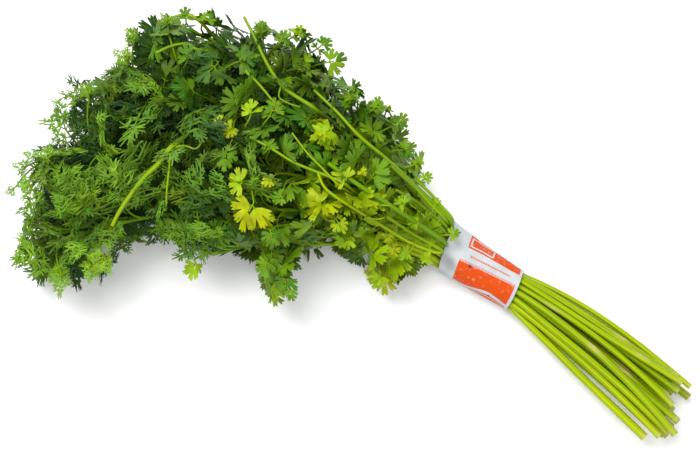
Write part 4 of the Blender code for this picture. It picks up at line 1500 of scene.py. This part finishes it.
def fresh_leaf(colours):
    """Fresh leaf: a thin waxy cuticle over soft green tissue.

    The cuticle gives a broad, weak gloss. Veins run from the leaflet's base into its lobes, sunk and
    paler. Feathery leaves have no veins that show.
    """
    made, tree, shader = blank_finish("fresh_leaf_blade")
    lie = add_node(tree, "ShaderNodeAttribute", attribute_name="lie").outputs["Vector"]
    tint = add_node(tree, "ShaderNodeAttribute", attribute_name="tint").outputs["Vector"]
    ahead, aside, feathery = add_node(tree, "ShaderNodeSeparateXYZ", {0: lie}).outputs
    yellowing, lime, deep_and_shade = add_node(tree, "ShaderNodeSeparateXYZ", {0: tint}).outputs
    flat = add_node(tree, "ShaderNodeVectorMath", {0: lie, 1: (1, 1, 0)}, operation="MULTIPLY")
    far = add_node(
        tree, "ShaderNodeVectorMath", {0: flat.outputs[0]}, operation="LENGTH",
    ).outputs["Value"]

    angle = add_node(tree, "ShaderNodeMath", {0: aside, 1: ahead}, operation="ARCTAN2").outputs[0]
    off_vein = add_node(
        tree, "ShaderNodeMath", {0: angle, 1: VEIN_ANGLE / 2}, operation="PINGPONG",
    ).outputs[0]
    off_vein = add_node(tree, "ShaderNodeMath", {0: off_vein, 1: far}, operation="MULTIPLY")
    vein = add_node(tree, "ShaderNodeMapRange", {
        "Value": off_vein.outputs[0], "From Max": VEIN_WIDTH, "To Min": 1.0, "To Max": 0.0,
    }, interpolation_type="SMOOTHSTEP").outputs[0]
    broad = add_node(tree, "ShaderNodeMath", {0: 1.0, 1: feathery}, operation="SUBTRACT").outputs[0]
    vein = add_node(tree, "ShaderNodeMath", {0: vein, 1: broad}, operation="MULTIPLY").outputs[0]
    pale = add_node(
        tree, "ShaderNodeMath", {0: vein, 1: VEIN_PALENESS}, operation="MULTIPLY",
    ).outputs[0]

    turned = add_node(
        tree, "ShaderNodeMath", {0: far, 1: YELLOW_RIM, 2: yellowing}, operation="MULTIPLY_ADD",
    ).outputs[0]
    turned = add_node(tree, "ShaderNodeMapRange", {
        "Value": turned, "From Min": YELLOW_FROM, "From Max": YELLOW_TO,
    }, interpolation_type="SMOOTHSTEP").outputs[0]
    # The deep coat is partly deep green leaves and partly painted shade on leaves that lie low.
    colour = coated(tree, opaque(colours.fresh_leaf), (
        (feathery, colours.feathery_leaf),
        (deep_and_shade, colours.deep_leaf_and_shade),
        (lime, colours.lime_leaf),
        (turned, colours.yellow_leaf),
    ))

    spot = add_node(tree, "ShaderNodeTexCoord").outputs["Object"]
    mottle = add_node(tree, "ShaderNodeTexNoise", {
        "Vector": spot, "Scale": MOTTLE_SCALE, "Detail": 3.0,
    })
    uneven = add_node(tree, "ShaderNodeMapRange", {
        "Value": mottle.outputs["Fac"], "From Min": MOTTLE_RANGE[0], "From Max": MOTTLE_RANGE[1],
        "To Min": MOTTLE_BRIGHTNESS[0], "To Max": MOTTLE_BRIGHTNESS[1],
    }).outputs[0]
    grey = add_node(tree, "ShaderNodeCombineColor", {0: uneven, 1: uneven, 2: uneven}).outputs[0]
    colour = add_node(tree, "ShaderNodeMix", {
        "Factor": 1.0, 6: colour, 7: grey,
    }, data_type="RGBA", blend_type="MULTIPLY").outputs[2]
    colour = coated(tree, colour, [(pale, colours.lime_leaf)])
    tree.links.new(colour, shader.inputs["Base Color"])

    net = add_node(tree, "ShaderNodeTexVoronoi", {
        "Vector": lie, "Scale": NET_CELLS, "Randomness": NET_UNEVENNESS,
    }, feature="DISTANCE_TO_EDGE").outputs["Distance"]
    height = add_node(
        tree, "ShaderNodeMath", {0: vein, 1: -VEIN_DEPTH, 2: net}, operation="MULTIPLY_ADD",
    ).outputs[0]
    bump = add_node(tree, "ShaderNodeBump", {
        "Height": height, "Strength": LEAF_BUMP, "Distance": LEAF_RELIEF,
    })
    tree.links.new(bump.outputs[0], shader.inputs["Normal"])
    shader.inputs["Roughness"].default_value = LEAF_ROUGHNESS
    shader.inputs["Specular IOR Level"].default_value = LEAF_SPECULAR
    shader.inputs["IOR"].default_value = LEAF_IOR
    return made


# Streaks on a stem are about 0.7 mm wide and 50 mm long, and the blotches of a scar 2 by 11 mm. The
# lie that they read is in radii round the stem and in centimetres along it.
STREAK_STRETCH = (1.5, 1.5, 0.12)
STREAK_SCALE = 1.6
STREAK_RANGE = (0.42, 0.68)
STREAK_MOST = 0.75
BLOTCH_SCALE = 0.9
SHADE_MOST = 0.5
NODE_TAN = "#b3a862"
TAN_STRENGTH = 1.5
STEM_BUMP, STEM_RELIEF = 0.25, 0.3 * MM
STEM_ROUGHNESS, STEM_SPECULAR, STEM_IOR = 0.36, 0.18, 1.4


def fresh_stem(colours):
    """Fresh stem: a smooth, ribbed skin full of water, with a clear satin gloss.

    Fine streaks run along it. It is lime at the foot and greener in the head, and its nodes are tan.
    """
    made, tree, shader = blank_finish("fresh_stem_skin")
    lie = add_node(tree, "ShaderNodeAttribute", attribute_name="lie").outputs["Vector"]
    tint = add_node(tree, "ShaderNodeAttribute", attribute_name="tint").outputs["Vector"]
    green, tan, shade = add_node(tree, "ShaderNodeSeparateXYZ", {0: tint}).outputs
    drawn_out = add_node(
        tree, "ShaderNodeVectorMath", {0: lie, 1: STREAK_STRETCH}, operation="MULTIPLY",
    ).outputs[0]
    streaks = add_node(tree, "ShaderNodeTexNoise", {
        "Vector": drawn_out, "Scale": STREAK_SCALE, "Detail": 5.0,
    }).outputs["Fac"]
    blotches = add_node(tree, "ShaderNodeTexNoise", {
        "Vector": lie, "Scale": BLOTCH_SCALE, "Detail": 2.0,
    }).outputs["Fac"]
    shade = add_node(tree, "ShaderNodeMapRange", {"Value": shade, "To Max": SHADE_MOST}).outputs[0]
    streaked = add_node(tree, "ShaderNodeMapRange", {
        "Value": streaks, "From Min": STREAK_RANGE[0], "From Max": STREAK_RANGE[1],
        "To Max": STREAK_MOST,
    }).outputs[0]
    tan = add_node(tree, "ShaderNodeMath", {0: tan, 1: blotches}, operation="MULTIPLY").outputs[0]
    tan = add_node(
        tree, "ShaderNodeMath", {0: tan, 1: TAN_STRENGTH}, operation="MULTIPLY", use_clamp=True,
    ).outputs[0]
    colour = coated(tree, opaque(colours.stem_lime), (
        (green, colours.stem_green),
        (shade, colours.stem_green),
        (streaked, colours.fresh_leaf),
        (tan, linear(NODE_TAN)),
    ))
    tree.links.new(colour, shader.inputs["Base Color"])
    bump = add_node(tree, "ShaderNodeBump", {
        "Height": streaks, "Strength": STEM_BUMP, "Distance": STEM_RELIEF,
    })
    tree.links.new(bump.outputs[0], shader.inputs["Normal"])
    shader.inputs["Roughness"].default_value = STEM_ROUGHNESS
    shader.inputs["Specular IOR Level"].default_value = STEM_SPECULAR
    shader.inputs["IOR"].default_value = STEM_IOR
    return made


# Vessels in a cut face stand 0.4 mm apart, coarser than the real 0.1 mm so that they show.
VESSEL_SCALE = 2400.0
VESSEL_DARKNESS = 0.6
PITH_ROUGHNESS = 0.4


def cut_face(colours):
    """Cut stem: wet, pale pith with open vessels that show as darker dots."""
    made, tree, shader = blank_finish("cut_stem_pith")
    spot = add_node(tree, "ShaderNodeTexCoord").outputs["Object"]
    vessels = add_node(tree, "ShaderNodeTexVoronoi", {"Vector": spot, "Scale": VESSEL_SCALE})
    dark = add_node(tree, "ShaderNodeMapRange", {
        "Value": vessels.outputs["Distance"], "To Min": VESSEL_DARKNESS, "To Max": 0.0,
    }).outputs[0]
    colour = coated(tree, opaque(colours.stem_pith), [(dark, colours.stem_green)])
    tree.links.new(colour, shader.inputs["Base Color"])
    shader.inputs["Roughness"].default_value = PITH_ROUGHNESS
    return made


# The paper's surface: its radius, and how much its print leans, because it is rolled askew.
PAPER_RADIUS = 13 * MM
PRINT_SKEW = math.radians(15.4) / (33 * MM)

# The print, each mark laid over the last as (ink or bare paper, its ends along the stems in
# millimetres, its ends round them in degrees, whether it waves, its stripes). Stripes are (pitch in
# millimetres, how much of the mark shows between them, how much on them).
INKED, BARE = 1.0, 0.0
PRINT = (
    (INKED, (-11, 21.4), (92, 154.8), False, None),
    (INKED, (-13.4, 21.4), (190.8, 292), False, None),
    (BARE, (-10, 4.6), (117, 150), False, None),
    (INKED, (-9.1, 3.7), (121, 146), False, None),
    (BARE, (-7, 20.5), (90, 116), False, (1.1, 0.35, 0.7)),
    (BARE, (-13.4, 21.4), (247, 259), True, None),
    (BARE, (-13.4, 21.4), (264, 268), True, None),
    (INKED, (-13.4, 21.4), (185.8, 190.8), False, (0.9, 0.0, 1.0)),
    (INKED, (-8, 17), (169.6, 175), False, (1.5, 0.45, 0.85)),
)
PRINT_EDGES = (0.15 * MM, math.radians(0.7))
WAVE_RATE, WAVE_HEIGHT = 190.0, 0.16

# Marks on the paper as (distance along the stems, degrees round them, reach), in millimetres.
# The first is a grey patch of painted crease shade near the mouth; the specks are soil.
CREASE_SHADOW_PATCH = (-17, 217, 6.5)
DARK_SPECKS = ((-6.2, 197, 1.6), (10, 246, 1.3))
BLOT_CORE = 0.1

# Patterns on the paper, in features a metre: ink worn off in specks of 2.4 mm, painted shade of
# creases in soft grey clouds of 11 mm, and a grain of 1.1 mm, coarser than real fibres so that it
# shows.
WEAR_SCALE, CREASE_SHADE_SCALE, GRAIN_SCALE = 420.0, 90.0, 900.0
WEAR_RANGE, WORN_INK = (0.58, 0.76), 0.5
CREASE_SHADE_RANGE, CREASE_SHADE_MOST = (0.4, 0.7), 0.4
PAPER_SHADE = "#85898f"
CREASE_SHADOW_GREY = "#6c7070"
SOIL = "#3a3a26"
PAPER_BUMP, PAPER_RELIEF = 0.12, 0.2 * MM
PAPER_ROUGHNESS, PAPER_SPECULAR = 0.5, 0.15


def inked(tree, along, turn):
    """How much ink the paper has, at a distance along the stems and a turn round them."""
    swing = add_node(tree, "ShaderNodeMath", {0: along, 1: WAVE_RATE}, operation="MULTIPLY")
    swing = add_node(tree, "ShaderNodeMath", {0: swing.outputs[0]}, operation="SINE")
    waved = add_node(
        tree, "ShaderNodeMath", {0: swing.outputs[0], 1: WAVE_HEIGHT, 2: turn},
        operation="MULTIPLY_ADD",
    ).outputs[0]
    ink = BARE
    for laid, ends, degrees, waves, stripes in PRINT:
        cover = 1.0
        if stripes:
            pitch, between, on_stripe = stripes
            wrapped = add_node(
                tree, "ShaderNodeMath", {0: along, 1: pitch * MM, 2: 0.0}, operation="WRAP",
            ).outputs[0]
            striped = add_node(
                tree, "ShaderNodeMath", {0: wrapped, 1: pitch * MM / 2}, operation="LESS_THAN",
            ).outputs[0]
            cover = add_node(tree, "ShaderNodeMapRange", {
                "Value": striped, "To Min": between, "To Max": on_stripe,
            }).outputs[0]
        metres = [end * MM for end in ends]
        turns = [math.radians(end) for end in degrees]
        for where, (low, high), soft in (
            (along, metres, PRINT_EDGES[0]), (waved if waves else turn, turns, PRINT_EDGES[1]),
        ):
            for edge, inside in ((low, low + soft), (high, high - soft)):
                within = add_node(tree, "ShaderNodeMapRange", {
                    "Value": where, "From Min": edge, "From Max": inside,
                }).outputs[0]
                cover = add_node(
                    tree, "ShaderNodeMath", {0: cover, 1: within}, operation="MULTIPLY",
                ).outputs[0]
        ink = add_node(tree, "ShaderNodeMix", {"Factor": cover, 2: ink, 3: laid}).outputs[0]
    return ink


def blotted(tree, surface, mark):
    """One in the middle of a mark on the paper, falling to nothing at its reach."""
    x, degrees, reach = mark
    away = add_node(tree, "ShaderNodeVectorMath", {
        0: surface, 1: (x * MM, math.radians(degrees) * PAPER_RADIUS, 0),
    }, operation="DISTANCE").outputs["Value"]
    return add_node(tree, "ShaderNodeMapRange", {
        "Value": away, "From Min": BLOT_CORE * reach * MM, "From Max": reach * MM,
        "To Min": 1.0, "To Max": 0.0,
    }, interpolation_type="SMOOTHSTEP").outputs[0]


def printed_paper(colours):
    """Printed paper: coated and satin, a little crushed, with plain panels of flat ink.

    Marks read the paper's own lie: along the stems in x, and the turn round them in y. The coating
    gives a weak, broad gloss. Shade of creases is painted in as soft grey clouds, with a grey patch
    of painted crease shade near the mouth.
    """
    made, tree, shader = blank_finish("coated_paper")
    lie = add_node(tree, "ShaderNodeAttribute", attribute_name="lie").outputs["Vector"]
    along, turn, _ = add_node(tree, "ShaderNodeSeparateXYZ", {0: lie}).outputs
    leaning = add_node(
        tree, "ShaderNodeMath", {0: along, 1: PRINT_SKEW, 2: turn}, operation="MULTIPLY_ADD",
    ).outputs[0]
    surface = add_node(
        tree, "ShaderNodeVectorMath", {0: lie, 1: (1, PAPER_RADIUS, 0)}, operation="MULTIPLY",
    ).outputs[0]
    spot = add_node(tree, "ShaderNodeTexCoord").outputs["Object"]
    wear = add_node(tree, "ShaderNodeTexNoise", {
        "Vector": spot, "Scale": WEAR_SCALE, "Detail": 5.0,
    }).outputs["Fac"]
    crease_shade = add_node(tree, "ShaderNodeTexNoise", {
        "Vector": spot, "Scale": CREASE_SHADE_SCALE, "Detail": 3.0,
    }).outputs["Fac"]
    grain = add_node(tree, "ShaderNodeTexNoise", {
        "Vector": spot, "Scale": GRAIN_SCALE, "Detail": 3.0,
    }).outputs["Fac"]
    kept = add_node(tree, "ShaderNodeMapRange", {
        "Value": wear, "From Min": WEAR_RANGE[0], "From Max": WEAR_RANGE[1],
        "To Min": 1.0, "To Max": WORN_INK,
    }).outputs[0]
    ink = add_node(
        tree, "ShaderNodeMath", {0: inked(tree, along, leaning), 1: kept}, operation="MULTIPLY",
    ).outputs[0]
    # Painted shade of creases: soft grey clouds laid over the paper.
    shade = add_node(tree, "ShaderNodeMapRange", {
        "Value": crease_shade, "From Min": CREASE_SHADE_RANGE[0], "From Max": CREASE_SHADE_RANGE[1],
        "To Max": CREASE_SHADE_MOST,
    }).outputs[0]
    # Painted crease shade: a grey patch near the mouth, broken up by the crease clouds.
    crease_shadow_patch = add_node(
        tree, "ShaderNodeMath", {0: blotted(tree, surface, CREASE_SHADOW_PATCH), 1: crease_shade},
        operation="MULTIPLY",
    ).outputs[0]
    colour = coated(tree, opaque(colours.paper), [
        (shade, linear(PAPER_SHADE)),
        (crease_shadow_patch, linear(CREASE_SHADOW_GREY)),
        (ink, colours.print_ink),
        *((blotted(tree, surface, speck), linear(SOIL)) for speck in DARK_SPECKS),
    ])
    tree.links.new(colour, shader.inputs["Base Color"])
    bump = add_node(tree, "ShaderNodeBump", {
        "Height": grain, "Strength": PAPER_BUMP, "Distance": PAPER_RELIEF,
    })
    tree.links.new(bump.outputs[0], shader.inputs["Normal"])
    shader.inputs["Roughness"].default_value = PAPER_ROUGHNESS
    shader.inputs["Specular IOR Level"].default_value = PAPER_SPECULAR
    return made


# The sleeve's sheet: its overlap, its grid, and how its two ends slant along the stems, because it
# is rolled askew, while its mouth flares and its edge waves.
PAPER_OVERLAP = math.radians(50)
PAPER_COLUMNS, PAPER_ROWS = 132, 40
PAPER_SLANT = (3.4 * MM, 1.2 * MM)
MOUTH_FLARE = 1.3 * MM
EDGE_WAVE, EDGE_WAVE_PHASE = 0.5 * MM, 0.6
LAP_RISES_OVER = 0.25
PAPER_SMOOTHING = math.radians(40)

# The paper's crumpling, as (depth, waves round the sleeve, radians a metre along it, phase, then the
# same three for what that is multiplied by), and how far down the sides it reaches.
CRUSH = 0.6 * MM
CRUMPLES = ((0.55, 3, 90, 0, 0, 160, 1.3), (0.35, 7, -210, 2, 1, 340, 0))
CRUSHED_DOWN_TO = 0.35


def crushed(x, turn):
    """How far the paper stands in or out at a place, from the crumpling of wet hands."""
    stands = 0
    for depth, waves, rate, phase, other_waves, other_rate, other_phase in CRUMPLES:
        one = math.sin(waves * turn + rate * x + phase)
        other = math.sin(other_waves * turn + other_rate * x + other_phase)
        stands += depth * one * other
    return CRUSH * stands * max(-math.cos(turn) + CRUSHED_DOWN_TO, 0) / (1 + CRUSHED_DOWN_TO)


def paper_sleeve(thickness):
    """The wrapper: a sheet rolled round the stems with its end lapped over its beginning."""
    deselect_all()
    bpy.ops.mesh.primitive_grid_add(x_subdivisions=PAPER_ROWS, y_subdivisions=PAPER_COLUMNS, size=1)
    sleeve = bpy.context.object
    starts = LAP_ANGLES[1] - PAPER_OVERLAP
    lies = []
    for vertex in sleeve.data.vertices:
        along, rolled = vertex.co.x + 0.5, (vertex.co.y + 0.5) * (2 * math.pi + PAPER_OVERLAP)
        x = MOUTH_X + along * WRAPPER_LENGTH
        turn = starts + rolled
        lapped = min(max((rolled - 2 * math.pi) / LAP_RISES_OVER + 1, 0), 1)
        half_width, half_height, centre = wrapper_section(x)
        out = crushed(x, turn) + LAP_HEIGHT * lapped
        out += MOUTH_FLARE * (1 - along) ** 4 * max(math.sin(turn), 0)
        edge = EDGE_WAVE * math.sin(2 * turn + EDGE_WAVE_PHASE) * (2 * along - 1) ** 5
        edge -= mix(PAPER_SLANT, along) * math.sin(turn)
        height = centre - (half_height + out) * math.cos(turn)
        vertex.co = (x + edge, (half_width + out) * math.sin(turn), max(height, 0))
        lies += [x, turn % (2 * math.pi), 0]
    marks = sleeve.data.attributes.new("lie", "FLOAT_VECTOR", "POINT")
    marks.data.foreach_set("vector", lies)
    in_edit_mode(bpy.ops.mesh.flip_normals)
    wall = sleeve.modifiers.new("paper", "SOLIDIFY")
    wall.thickness = thickness
    wall.offset = -1
    bpy.ops.object.modifier_apply(modifier=wall.name)
    bpy.ops.object.shade_smooth_by_angle(angle=PAPER_SMOOTHING)
    return sleeve


# How many patterns of each kind of leaflet there are, and the broad and cut ones' lobes.
LEAFLET_PATTERNS = {
    "broad": (4, (BROAD_LOBES, BROAD_TEETH, BROAD_SINUS)),
    "cut": (3, (CUT_LOBES, CUT_TEETH, CUT_SINUS)),
}
FEATHERY_PATTERNS = 5


def grown_patterns(sizes):
    """The patterns that the leafy stems are grown from, with a few leaflets of each kind."""
    shapes = random.Random(SEED)
    thin = sizes.leaf_thickness / LEAFLET_LENGTH
    patterns = {}
    for kind, (count, lobes) in LEAFLET_PATTERNS.items():
        rims = (toothed_rim(shapes, *lobes) for _ in range(count))
        patterns[kind] = [Pattern(fan_sheet(rim, thin)) for rim in rims]
    patterns["feathery"] = [Pattern(feathery_spray(shapes)) for _ in range(FEATHERY_PATTERNS)]
    patterns["petiole"] = Pattern(rod(PETIOLE_SIDES, PETIOLE_RINGS))
    patterns["stalk"] = Pattern(rod(STALK_SIDES, 1))
    patterns["branch"] = Pattern(rod(BRANCH_SIDES, TOP_STEM_POINTS))
    patterns["stem"] = Pattern(rod(STEM_SIDES, STEM_RINGS, sizes.stem_rib, hollow=True))
    return patterns


class CORIANDER_OT_leafy_stems(bpy.types.Operator):
    """Grow the stems with their fine leaves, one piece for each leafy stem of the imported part"""

    bl_idname = "coriander.leafy_stems"
    bl_label = "Leafy stems"

    def execute(self, context):
        sizes, colours = context.scene.coriander_sizes, context.scene.coriander_colours
        patterns = grown_patterns(sizes)
        finishes = [fresh_stem(colours), fresh_leaf(colours), cut_face(colours)]
        stems = dressed_bunch(sizes.filler_leaves)
        draw = random.Random(FILLER_SEED)
        for stem in stems:
            growth = Growth()
            points, radii = fine_route(stem, draw)
            laid, place = lay_along(patterns["stem"], points, radii)
            laid[:, 2] = numpy.maximum(laid[:, 2], LEAF_LIES_AT)
            tints = stem_tints(place, stem, draw, patterns["stem"].points)
            growth.add(patterns["stem"], laid, rod_lie(patterns["stem"], place), tints)
            for route, radii, green in stem.branches:
                add_branch(growth, patterns["branch"], route, radii, (green, 0.0, draw.random()))
            for leaf in stem.leaves:
                add_leaf(growth, leaf, patterns, draw)
            for leaf, tint in stem.top_leaves:
                add_leaf(growth, leaf, patterns, draw, tint)
            piece = growth.as_piece("fine_" + stem.name, finishes)
            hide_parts(stem.name)
            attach(piece, "root")
        return {"FINISHED"}


class CORIANDER_OT_wrapper(bpy.types.Operator):
    """Roll the printed paper wrapper round the stems"""

    bl_idname = "coriander.wrapper"
    bl_label = "Wrapper"

    def execute(self, context):
        sleeve = paper_sleeve(context.scene.coriander_sizes.paper_thickness)
        sleeve.name = "printed_wrapper"
        sleeve.data.materials.append(printed_paper(context.scene.coriander_colours))
        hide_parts("wrapper")
        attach(sleeve, "root")
        return {"FINISHED"}


# The studio: its floor, the light of its sky, and its lamps as (name, steps right, ahead and up from
# the middle of the picture in metres, size, watts). The camera sees from the first distance on.
FLOOR_SIZE, FLOOR_COLOUR, FLOOR_ROUGHNESS = 6, "#f4f4f4", 0.9
SKY_STRENGTH = 0.65
LAMPS = (("key", (-0.35, 0.45, 1.1), 0.8, 19), ("fill", (0.6, -0.9, 0.9), 1.2, 8))
SEEN_BETWEEN = (0.01, 20)


def soft_lamp(name, place, target, size, power):
    """A square studio lamp that faces the bunch."""
    lamp = bpy.data.lights.new(name, "AREA")
    lamp.size, lamp.energy = size, power
    made = bpy.data.objects.new(name, lamp)
    made.location = place
    made.rotation_euler = (Vector(target) - Vector(place)).to_track_quat("-Z", "Y").to_euler()
    bpy.context.scene.collection.objects.link(made)


class CORIANDER_OT_stage(bpy.types.Operator):
    """Lay the pale floor, light it softly and set the camera where the photograph was taken"""

    bl_idname = "coriander.stage"
    bl_label = "Stage"

    def execute(self, context):
        scene = context.scene
        scene.view_settings.view_transform = "Standard"
        deselect_all()
        bpy.ops.mesh.primitive_plane_add(size=FLOOR_SIZE, location=(0, 0, 0))
        floor = context.object
        floor.name = "floor"
        finish, _, shader = blank_finish("pale_tabletop")
        shader.inputs["Base Color"].default_value = opaque(linear(FLOOR_COLOUR))
        shader.inputs["Roughness"].default_value = FLOOR_ROUGHNESS
        floor.data.materials.append(finish)

        world = bpy.data.worlds.new("studio")
        scene.world = world
        world.use_nodes = True
        sky = world.node_tree.nodes["Background"]
        sky.inputs["Color"].default_value = (1, 1, 1, 1)
        sky.inputs["Strength"].default_value = SKY_STRENGTH
        for name, (right, ahead, above), size, power in LAMPS:
            place = MIDDLE + RIGHT * right + AHEAD * ahead + ABOVE * above
            soft_lamp(name, place, MIDDLE, size, power)

        camera = bpy.data.cameras.new("camera")
        camera.lens, camera.sensor_width = LENS_MM, SENSOR_MM
        camera.clip_start, camera.clip_end = SEEN_BETWEEN
        looking = bpy.data.objects.new("camera", camera)
        scene.collection.objects.link(looking)
        turned = Matrix((RIGHT, UPRIGHT, TO_EYE)).transposed().to_4x4()
        looking.matrix_world = Matrix.Translation(EYE) @ turned
        scene.camera = looking
        return {"FINISHED"}


class CORIANDER_PT_panel(bpy.types.Panel):
    """Sizes, colours and pieces of the bunch"""

    bl_idname = "CORIANDER_PT_panel"
    bl_label = "Coriander bunch"
    bl_space_type = "VIEW_3D"
    bl_region_type = "UI"
    bl_category = "Coriander"

    def draw(self, context):
        for group in (context.scene.coriander_sizes, context.scene.coriander_colours):
            box = self.layout.box()
            for name in group.__annotations__:
                box.prop(group, name)
        for operator in OPERATORS:
            self.layout.operator(operator.bl_idname)


OPERATORS = (CORIANDER_OT_leafy_stems, CORIANDER_OT_wrapper, CORIANDER_OT_stage)
CLASSES = (CorianderSizes, CorianderColours, *OPERATORS, CORIANDER_PT_panel)


def register():
    for each in CLASSES:
        bpy.utils.register_class(each)
    bpy.types.Scene.coriander_sizes = PointerProperty(type=CorianderSizes)
    bpy.types.Scene.coriander_colours = PointerProperty(type=CorianderColours)


def unregister():
    del bpy.types.Scene.coriander_colours
    del bpy.types.Scene.coriander_sizes
    for each in reversed(CLASSES):
        bpy.utils.unregister_class(each)


def main():
    register()
    bpy.ops.coriander.leafy_stems()
    bpy.ops.coriander.wrapper()
    bpy.ops.coriander.stage()


if __name__ == "__main__":
    main()
